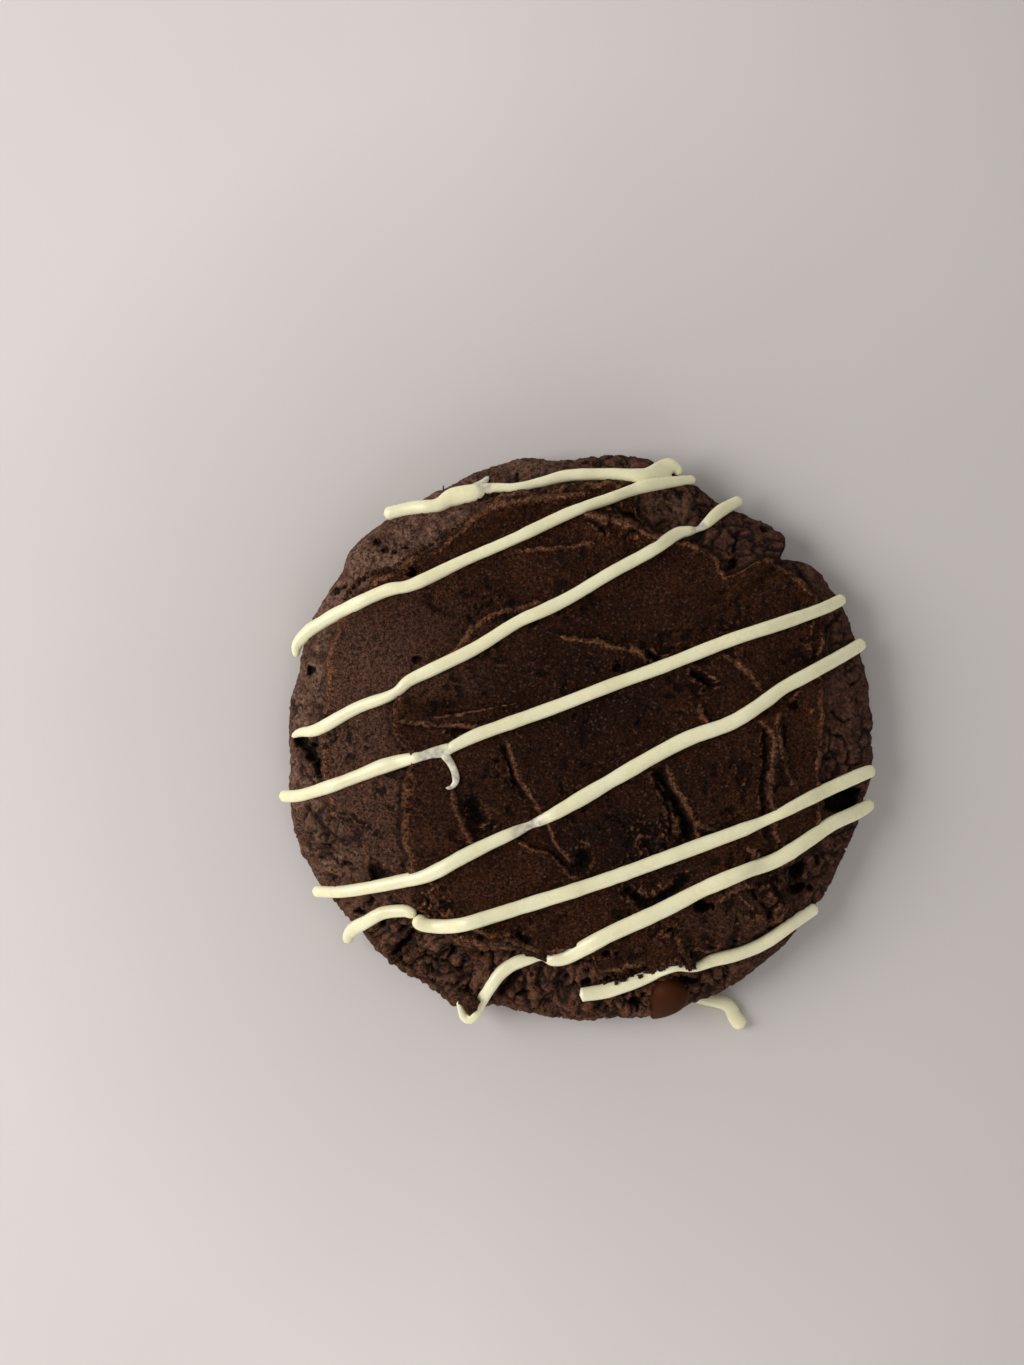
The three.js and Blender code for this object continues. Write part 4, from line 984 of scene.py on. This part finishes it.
# Loose crumbs and torn flaps of icing: [x, y, length, width, height, turn].
FLAPS = [
    [-6.6, -32.6, 2.2, 1.2, 0.7, -30], [-8.2, -32.2, 1.6, 0.9, 0.6, -10],
    [16.0, -34.3, 1.0, 1.9, 0.7, 15], [14.8, -33.6, 1.2, 1.3, 0.6, 0],
    [12.6, -33.9, 1.8, 0.8, 0.5, 20], [-27.2, 25.0, 2.2, 0.9, 0.6, 20],
    [-28.9, 25.6, 1.5, 0.9, 0.6, -30], [-14.6, 36.8, 0.9, 1.3, 0.6, 10],
    [25.9, -17.5, 1.5, 0.6, 0.4, 30], [-17.1, -40.1, 2.6, 3.2, 3.0, 10],
    [-28.6, -33.8, 2.4, 1.9, 2.0, 20], [-27.2, -34.6, 1.5, 1.2, 1.4, 40],
    [-11.4, -28.8, 1.1, 1.7, 0.8, 10], [43.1, -8.8, 0.8, 0.7, 0.6, 0],
    [11.3, -30.3, 2.4, 0.8, 0.7, -28], [8.6, -31.5, 2.0, 0.7, 0.6, -24],
    [36.3, 6.0, 1.4, 0.35, 0.3, 35], [29.2, -16.0, 0.5, 1.4, 0.5, 0],
    [-21.2, 38.3, 0.3, 1.3, 0.3, 5], [0.4, 42.2, 1.1, 0.8, 0.8, 0], [1.6, 42.0, 0.9, 0.7, 0.7, 0],
    [-23.2, -36.9, 1.3, 0.9, 0.8, 0], [5.9, -36.0, 1.5, 0.5, 0.5, 5],
]
SCATTERED_CRUMBS = 260

# Ragged edges of icing that hang over a strand: [crumbs, size, path].
TORN_EDGES = [
    [34, 0.9, [[3.6, -37.2], [6.2, -36.3], [9.4, -35.2], [12.4, -34.1], [14.2, -33.4]]],
    [16, 0.9, [[15.0, -31.0], [15.6, -32.4], [16.1, -33.6], [16.4, -34.6]]],
    [26, 0.8, [[-13.2, -29.6], [-11.0, -30.6], [-8.8, -31.7], [-6.6, -32.8]]],
    [12, 0.6, [[-23.8, -22.6], [-22.2, -24.2], [-21.1, -25.8]]],
    [10, 0.6, [[-15.6, 36.4], [-14.4, 37.0], [-12.6, 37.5]]],
    [34, 0.7, [[-36.2, 21.6], [-33.6, 24.2], [-30.6, 25.4], [-27.6, 25.4]]],
    [40, 0.5, [[-27.6, 6.2], [-28.5, 3.0], [-27.5, 0.6], [-26.0, -1.2]]],
    [24, 0.5, [[-28.6, 26.2], [-25.2, 28.2], [-21.4, 30.6], [-17.4, 33.4]]],
    [10, 0.7, [[2.6, -34.4], [3.9, -35.4], [5.4, -35.4]]],
]


def add_lump(points, faces, centre, size, turn, seed):
    """One rough crumb: a low-sided ball, stretched, turned and knocked out of shape."""
    rings, around = 9, 14
    down = np.linspace(math.pi, 0, rings + 2)[1:-1]
    round_to = np.linspace(0, 2 * math.pi, around, endpoint=False)
    u = (np.sin(down)[:, None] * np.cos(round_to)).ravel()
    v = (np.sin(down)[:, None] * np.sin(round_to)).ravel()
    w = (np.cos(down)[:, None] * np.ones(around)).ravel()
    u, v, w = [np.append(a, e) for a, e in ((u, [0, 0]), (v, [0, 0]), (w, [-1, 1]))]
    knocked = 0.5 * (1 + 0.5 * rough(u, v, w, 0.9, 3, seed, 0.6))
    u, v, w = u * knocked * size[0], v * knocked * size[1], w * knocked * size[2]
    c, s = math.cos(math.radians(turn)), math.sin(math.radians(turn))
    cx, cy, cz = centre
    made = np.stack([cx + c * u - s * v, cy + s * u + c * v, cz + w], axis=-1)
    faces += shifted(skin_faces(rings, around), sum(map(len, points)))
    points.append(made)


def build_crumbs(trees, material):
    """Torn flaps of icing on the strands and small crumbs scattered over the top and rim."""
    points, faces = [], []
    for n, (x, y, length, width, height, turn) in enumerate(FLAPS):
        level = ground(trees, [x], [y])[0]
        if math.isnan(level):
            level = WIDEST_LEVEL + 1
        size = (length, width, height)
        add_lump(points, faces, (x, y, level + 0.1 * height), size, turn, 720 + n)
    rng = np.random.default_rng(SEED)
    for count, size, path in TORN_EDGES:
        line = smooth_path(path, 0.05)
        for spot in line[np.linspace(0, len(line) - 1, count).astype(int)]:
            x, y = spot + rng.normal(0, 0.22 * size, 2)
            shape = size * rng.uniform(0.6, 1.25, 3)
            level = ground(trees, [x], [y])[0]
            turn = rng.uniform(0, 180)
            add_lump(points, faces, (x, y, level), shape, turn, 1200 + len(points))
    placed = 0
    while placed < SCATTERED_CRUMBS:
        x, y = rng.uniform(-44, 44, 2)
        size = rng.uniform(0.16, 0.34) * (1 + rng.uniform() ** 6)
        turn = rng.uniform(0, 180)
        if math.hypot(x, y) > 0.96 * float(read_curve(OUTLINE_CURVE, x, y)):
            continue
        level = ground(trees[:2], [x], [y])[0]
        if math.isnan(level) or level < ground(trees, [x], [y])[0] - 0.05:
            continue
        shape = (size, size * rng.uniform(0.6, 1), size * rng.uniform(0.5, 0.9))
        add_lump(points, faces, (x, y, level + 0.02), shape, turn, 800 + placed)
        placed += 1
    return add_piece("crumbs", np.vstack(points), faces, material, {})


# ---- materials ----


# Colours as linear red, green and blue.
COOKIE_SHADED_DARK = (0.058, 0.0203, 0.0112)
COOKIE_SHADED_PALE = (0.112, 0.0490, 0.0285)
COOKIE_LIT_DARK = (0.124, 0.0550, 0.0340)
COOKIE_LIT_PALE = (0.240, 0.1320, 0.0870)
COOKIE_FRONT_LIT_DARK = (0.098, 0.0370, 0.0200)
COOKIE_FRONT_LIT_PALE = (0.195, 0.0870, 0.0490)
COOKIE_RUST = (0.175, 0.070, 0.032)
RECESS_SHADE_BLACK = (0.0045, 0.0022, 0.0015)
ICING_DARK = (0.0195, 0.0054, 0.0016)
ICING_BROWN = (0.0350, 0.0108, 0.0036)
ICING_LIT_PALE = (0.062, 0.0285, 0.0178)
ICING_GLINT_SPECK = (0.105, 0.052, 0.032)
ICING_CREST = (0.175, 0.072, 0.033)
ICING_LUMP = (0.050, 0.0200, 0.0105)
WHITE_CREAM = (0.90, 0.83, 0.53)
WHITE_PALE = (0.93, 0.875, 0.60)
WHITE_THIN = (0.70, 0.645, 0.55)
WHITE_FILM = (0.36, 0.315, 0.265)
CHIP_BROWN = (0.044, 0.0115, 0.0030)
CHIP_LIGHT = (0.052, 0.0145, 0.0045)
FLOOR_PALE = (0.83, 0.77, 0.745)
FLOOR_GREY = (0.80, 0.74, 0.715)
FLOOR_SHADE = (0.60, 0.555, 0.53)


class Nodes:
    """Short ways to add and join the nodes of one material or world."""

    def __init__(self, owner):
        owner.use_nodes = True
        self.owner = owner
        self.tree = owner.node_tree
        self.places = self.add("TexCoord").outputs
        self.place = self.places["Object"]

    def add(self, kind, values=None, **settings):
        """A node, with its settings made and a value or a link given to its inputs."""
        node = self.tree.nodes.new("ShaderNode" + kind)
        for name, value in settings.items():
            setattr(node, name, value)
        self.feed(node, values or {})
        return node

    def feed(self, node, values):
        for name, value in values.items():
            socket = node.inputs[name]
            if isinstance(value, bpy.types.NodeSocket):
                self.tree.links.new(value, socket)
            elif socket.type == "RGBA":
                socket.default_value = (*value, 1)
            else:
                socket.default_value = value

    def surface(self, values):
        """The material, with these values given to its shader."""
        self.feed(self.tree.nodes["Principled BSDF"], values)
        return self.owner

    def noise(self, size_mm, detail=3.0, roughness=0.5):
        values = {"Scale": 1 / (size_mm * MM), "Detail": detail, "Roughness": roughness}
        return self.add("TexNoise", {**values, "Vector": self.place}).outputs["Fac"]

    def chance(self, size_mm):
        """A random number for each cell of about size_mm."""
        cells = self.add("TexVoronoi", {"Scale": 1 / (size_mm * MM), "Vector": self.place})
        return self.add("SeparateColor", {"Color": cells.outputs["Color"]}).outputs["Red"]

    def field(self, name):
        return self.add("Attribute", attribute_name=name).outputs["Fac"]

    def axis(self, name, place=None):
        split = self.add("SeparateXYZ", {"Vector": place or self.place})
        return split.outputs[name]

    def ramp(self, value, low, high, start=0.0, end=1.0):
        """start where value is low, end where it is high, and a straight line in between."""
        values = {"From Min": low, "From Max": high, "To Min": start, "To Max": end}
        return self.add("MapRange", {**values, "Value": value}).outputs["Result"]

    def math(self, operation, a, b):
        return self.add("Math", {0: a, 1: b}, operation=operation).outputs["Value"]

    def mix(self, share, a, b):
        """Colour a where share is 0, and b where it is 1."""
        return self.add("Mix", {"Factor": share, 6: a, 7: b}, data_type="RGBA").outputs[2]

    def shade(self, tone, factor):
        """A colour made brighter or darker by a factor."""
        return self.add("VectorMath", {0: tone, "Scale": factor}, operation="SCALE").outputs[0]

    def crack(self, size_mm, width, cover):
        """1 along thin wandering lines, 0 elsewhere; cover is the share of the skin they cross."""
        off = self.math("ABSOLUTE", self.math("SUBTRACT", self.noise(size_mm, 4, 0.6), 0.5), 0)
        line = self.ramp(off, width, 0.0)
        place = self.ramp(self.noise(2.3 * size_mm, 2), 1 - cover, 1.1 - cover)
        return self.math("MULTIPLY", line, place)

    def bump(self, height, distance_mm, strength, normal=None):
        values = {"Distance": distance_mm * MM, "Strength": strength, "Height": height}
        if normal is not None:
            values["Normal"] = normal
        return self.add("Bump", values).outputs["Normal"]


def cookie_material():
    """Baked crumb: matt dark brown, mottled, with painted light making it paler at the left and at
    the lower front and painted shade darkening the right, near black with painted shade in its pits
    and cracks, and rusty on torn edges."""
    n = Nodes(bpy.data.materials.new("baked_crumb"))
    spread = n.ramp(n.noise(2.6, 5, 0.6), 0.4, 0.63)
    # Painted light and shade: a lit copy of the crumb's colours for the left, a shaded copy for the
    # right and another lit copy for the lower front.
    lit_side = n.mix(spread, COOKIE_LIT_DARK, COOKIE_LIT_PALE)
    shaded_side = n.mix(spread, COOKIE_SHADED_DARK, COOKIE_SHADED_PALE)
    front_lit = n.mix(spread, COOKIE_FRONT_LIT_DARK, COOKIE_FRONT_LIT_PALE)
    grain = n.noise(0.55, 4, 0.7)
    across, up = n.axis("X"), n.axis("Y")
    # Painted light at the left fading to painted shade at the right, then painted light at the
    # lower front.
    mottle = n.mix(n.ramp(across, -0.036, 0.022), lit_side, shaded_side)
    low = n.math("MULTIPLY", n.ramp(up, -0.034, -0.018, 1.0, 0.0),
                 n.ramp(across, 0.002, 0.026, 1.0, 0.0))
    mottle = n.mix(low, mottle, front_lit)
    colour = n.shade(mottle, n.ramp(grain, 0.34, 0.66, 0.25, 1.75))
    colour = n.mix(n.ramp(n.noise(0.8, 3), 0.6, 0.74, 0, 0.5), colour, COOKIE_RUST)
    colour = n.mix(n.math("MULTIPLY", n.field("crest"), 0.8), colour, COOKIE_RUST)
    # Painted shade: near black in the fine crack lines and in the recesses marked on the mesh.
    lines = n.crack(1.8, 0.018, 0.6)
    painted_shade = n.math("MAXIMUM", n.field("recess_shade"), n.math("MULTIPLY", lines, 0.8))
    split = n.bump(lines, -0.3, 1.0, n.bump(grain, 0.6, 1.0))
    return n.surface({
        "Base Color": n.mix(n.math("MULTIPLY", painted_shade, 0.93), colour, RECESS_SHADE_BLACK),
        "Roughness": n.ramp(n.noise(0.9, 3), 0.3, 0.7, 0.62, 0.86),
        "Normal": n.bump(n.noise(1.3, 4, 0.7), 0.6, 1.0, split),
        "Specular IOR Level": 0.15,
    })


def icing_material():
    """Chocolate icing: finely grained and slightly moist, with coat glints and painted glint
    specks, rusty on thin lips, with painted shade in its recesses and its middle, and paler towards
    the left, partly painted light and partly a drier icing."""
    n = Nodes(bpy.data.materials.new("chocolate_icing"))
    grain = n.noise(0.5, 5, 0.66)
    fine = n.noise(0.26, 2, 0.5)
    tone = n.mix(n.ramp(n.noise(7, 4), 0.35, 0.7), ICING_DARK, ICING_BROWN)
    # Paler towards the left: partly painted light from the left, partly a drier icing.
    tone = n.mix(n.field("lit_and_pale"), tone, ICING_LIT_PALE)
    # Painted light and shade: brighter away from the middle and darker in it.
    tone = n.shade(tone, n.ramp(n.field("deep"), 0.0, 1.0, 1.55, 0.5))
    worn = n.math("SUBTRACT", n.field("crest"), n.ramp(grain, 0.4, 0.6, 0.2, 0.0))
    tone = n.mix(n.ramp(worn, 0.08, 0.55), tone, ICING_CREST)
    tone = n.shade(tone, n.ramp(grain, 0.36, 0.64, 0.25, 1.8))
    tone = n.shade(tone, n.ramp(fine, 0.36, 0.64, 0.5, 1.5))
    # Painted glints: sparse bright specks in the colour.
    tone = n.mix(n.ramp(n.chance(0.3), 0.92, 0.95, 0.0, 0.6), tone, ICING_GLINT_SPECK)
    glint = n.ramp(n.chance(0.24), 0.9, 0.94, 0.0, 0.3)
    wet = n.math("MULTIPLY", n.field("damp"), n.ramp(n.noise(0.55, 2), 0.56, 0.66, 0.0, 0.7))
    tooth = n.bump(fine, 0.1, 1.0, n.bump(grain, 0.75, 1.0))
    relief = n.bump(n.noise(1.4, 4, 0.65), 0.5, 1.0, tooth)
    # Painted shade: near black in the recesses marked on the mesh.
    return n.surface({
        "Base Color": n.mix(n.math("MULTIPLY", n.field("recess_shade"), 0.95), tone, RECESS_SHADE_BLACK),
        "Roughness": n.ramp(n.noise(0.7, 3), 0.3, 0.7, 0.5, 0.7),
        "Normal": relief,
        "Coat Weight": n.math("MAXIMUM", glint, wet),
        "Coat Roughness": 0.2,
        "Coat Normal": relief,
        "Specular IOR Level": 0.06,
    })


def white_material():
    """White chocolate: smooth, faintly glossy, a little see-through and glassy where it is thin."""
    n = Nodes(bpy.data.materials.new("white_chocolate"))
    tone = n.mix(n.ramp(n.noise(5, 2), 0.35, 0.7), WHITE_CREAM, WHITE_PALE)
    thin = n.math("MULTIPLY", n.field("thin"), n.ramp(n.noise(1.4, 3), 0.3, 0.62, 0.35, 1.0))
    film = n.mix(n.ramp(n.noise(0.9, 3), 0.42, 0.62), WHITE_THIN, WHITE_FILM)
    return n.surface({
        "Base Color": n.mix(thin, tone, film),
        "Roughness": n.ramp(n.noise(1.5, 2), 0.3, 0.7, 0.22, 0.34),
        "Normal": n.bump(n.noise(1.8, 2), 0.06, 0.35),
        "Subsurface Weight": 0.2,
        "Subsurface Radius": (1.0, 0.85, 0.5),
        "Subsurface Scale": 0.6 * MM,
    })


def chip_material():
    """Milk chocolate: satin smooth."""
    n = Nodes(bpy.data.materials.new("milk_chocolate"))
    return n.surface({
        "Base Color": n.mix(n.ramp(n.noise(2.5, 2), 0.3, 0.7), CHIP_BROWN, CHIP_LIGHT),
        "Roughness": n.ramp(n.noise(1.2, 2), 0.3, 0.7, 0.45, 0.55),
        "Normal": n.bump(n.noise(1.5, 2), 0.05, 0.3),
        "Specular IOR Level": 0.05,
    })


def crumb_material():
    """Loose crumbs: the icing's and the cookie's browns, crumb by crumb."""
    n = Nodes(bpy.data.materials.new("loose_crumb"))
    grain = n.noise(0.5, 4, 0.62)
    tone = n.mix(n.ramp(n.noise(1.6, 2), 0.4, 0.6), ICING_BROWN, ICING_LUMP)
    tone = n.mix(n.ramp(n.noise(0.7, 2), 0.56, 0.68, 0.0, 0.6), tone, ICING_CREST)
    return n.surface({
        "Base Color": n.shade(tone, n.ramp(grain, 0.36, 0.64, 0.3, 1.7)),
        "Roughness": n.ramp(n.noise(0.6, 2), 0.3, 0.7, 0.5, 0.7),
        "Normal": n.bump(grain, 0.5, 1.0),
        "Specular IOR Level": 0.1,
    })


def floor_material():
    """Pale warm grey with a barely visible grain, a little darker near the middle and to the
    right, where the room is dimmer."""
    n = Nodes(bpy.data.materials.new("pale_floor"))
    tone = n.mix(n.ramp(n.noise(60, 3), 0.3, 0.7), FLOOR_PALE, FLOOR_GREY)
    from_middle = n.add("VectorMath", {0: n.place}, operation="LENGTH").outputs["Value"]
    tone = n.mix(n.ramp(from_middle, 0.040, 0.105, 0.7, 0.0), tone, FLOOR_SHADE)
    tone = n.mix(n.ramp(n.axis("X"), -0.02, 0.075, 0.0, 0.65), tone, FLOOR_SHADE)
    return n.surface({
        "Base Color": tone,
        "Normal": n.bump(n.noise(3, 3), 0.1, 0.2),
        "Roughness": 0.75,
        "Specular IOR Level": 0.2,
    })


# ---- the stage: floor, lights and camera ----

CAMERA_PLACE = (-0.01063, 0.00855, 0.300)  # it looks straight down
FRAME_HEIGHT = 1365  # of the picture, in pixels
SCALE_LEVEL = 5  # height in millimetres at which the picture's scale was taken
MM_PER_PIXEL = 90 / 584  # at that height
SENSOR = 36.0
FLOOR_HALF = 1.5  # half of the floor's side
AIM = (0, 0, 0.005)  # the lights point here
WINDOW, FILL, CEILING = (-0.62, 0.06, 0.46), (0.05, -0.60, 0.35), (0.20, 0.15, 0.90)
ROOM_COLOUR = (1.0, 0.985, 0.965)
WALL_LIGHT = 0.75  # light from the sides of the room
CEILING_LIGHT = 0.05  # and from straight above


def add_camera():
    camera = bpy.data.objects.new("camera", bpy.data.cameras.new("camera"))
    bpy.context.scene.collection.objects.link(camera)
    seen_height = FRAME_HEIGHT * MM_PER_PIXEL * MM
    camera.data.sensor_fit = "VERTICAL"
    camera.data.sensor_height = SENSOR
    camera.data.lens = SENSOR * (CAMERA_PLACE[2] - SCALE_LEVEL * MM) / seen_height
    camera.data.clip_start = 0.01
    camera.location = CAMERA_PLACE
    bpy.context.scene.camera = camera


def add_area(name, place, size, power):
    light = bpy.data.lights.new(name, "AREA")
    light.shape = "DISK"
    light.size = size
    light.energy = power
    lamp = bpy.data.objects.new(name, light)
    lamp.location = place
    lamp.rotation_euler = (Vector(AIM) - Vector(place)).to_track_quat("-Z", "Y").to_euler()
    bpy.context.scene.collection.objects.link(lamp)


def add_stage():
    mesh = bpy.data.meshes.new("floor")
    corners = [(-1, -1, 0), (1, -1, 0), (1, 1, 0), (-1, 1, 0)]
    mesh.from_pydata((np.array(corners) * FLOOR_HALF).tolist(), [], [(0, 1, 2, 3)])
    mesh.materials.append(floor_material())
    floor = bpy.data.objects.new("floor", mesh)
    bpy.context.scene.collection.objects.link(floor)
    add_area("window", WINDOW, 0.55, 4.2)
    add_area("fill", FILL, 0.50, 0.9)
    add_area("ceiling", CEILING, 0.80, 1.0)
    room = Nodes(bpy.data.worlds.new("room"))
    height = room.axis("Z", room.places["Generated"])
    strength = room.ramp(height, 0.1, 0.9, WALL_LIGHT, CEILING_LIGHT)
    room.feed(room.tree.nodes["Background"], {"Color": ROOM_COLOUR, "Strength": strength})
    bpy.context.scene.world = room.owner
    bpy.context.scene.view_settings.view_transform = "Standard"


# ---- build ----

add_camera()
add_stage()

cookie = build_cookie(cookie_material())
icing = build_icing(icing_material())
bpy.context.view_layer.update()
graph = bpy.context.evaluated_depsgraph_get()
surfaces = [BVHTree.FromObject(piece, graph) for piece in (cookie, icing)]
white = white_material()
strands = build_strands(surfaces, white)
fallen = build_fallen_strand(white)
chip = build_chip(chip_material())
graph = bpy.context.evaluated_depsgraph_get()
surfaces.append(BVHTree.FromObject(strands, graph))
crumbs = build_crumbs(surfaces, crumb_material())

for piece in (cookie, icing, strands, fallen, chip, crumbs):
    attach(piece, "root")
for piece in (cookie, fallen, chip):
    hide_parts("cookie")
for piece in (icing, strands, crumbs):
    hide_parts("icing")
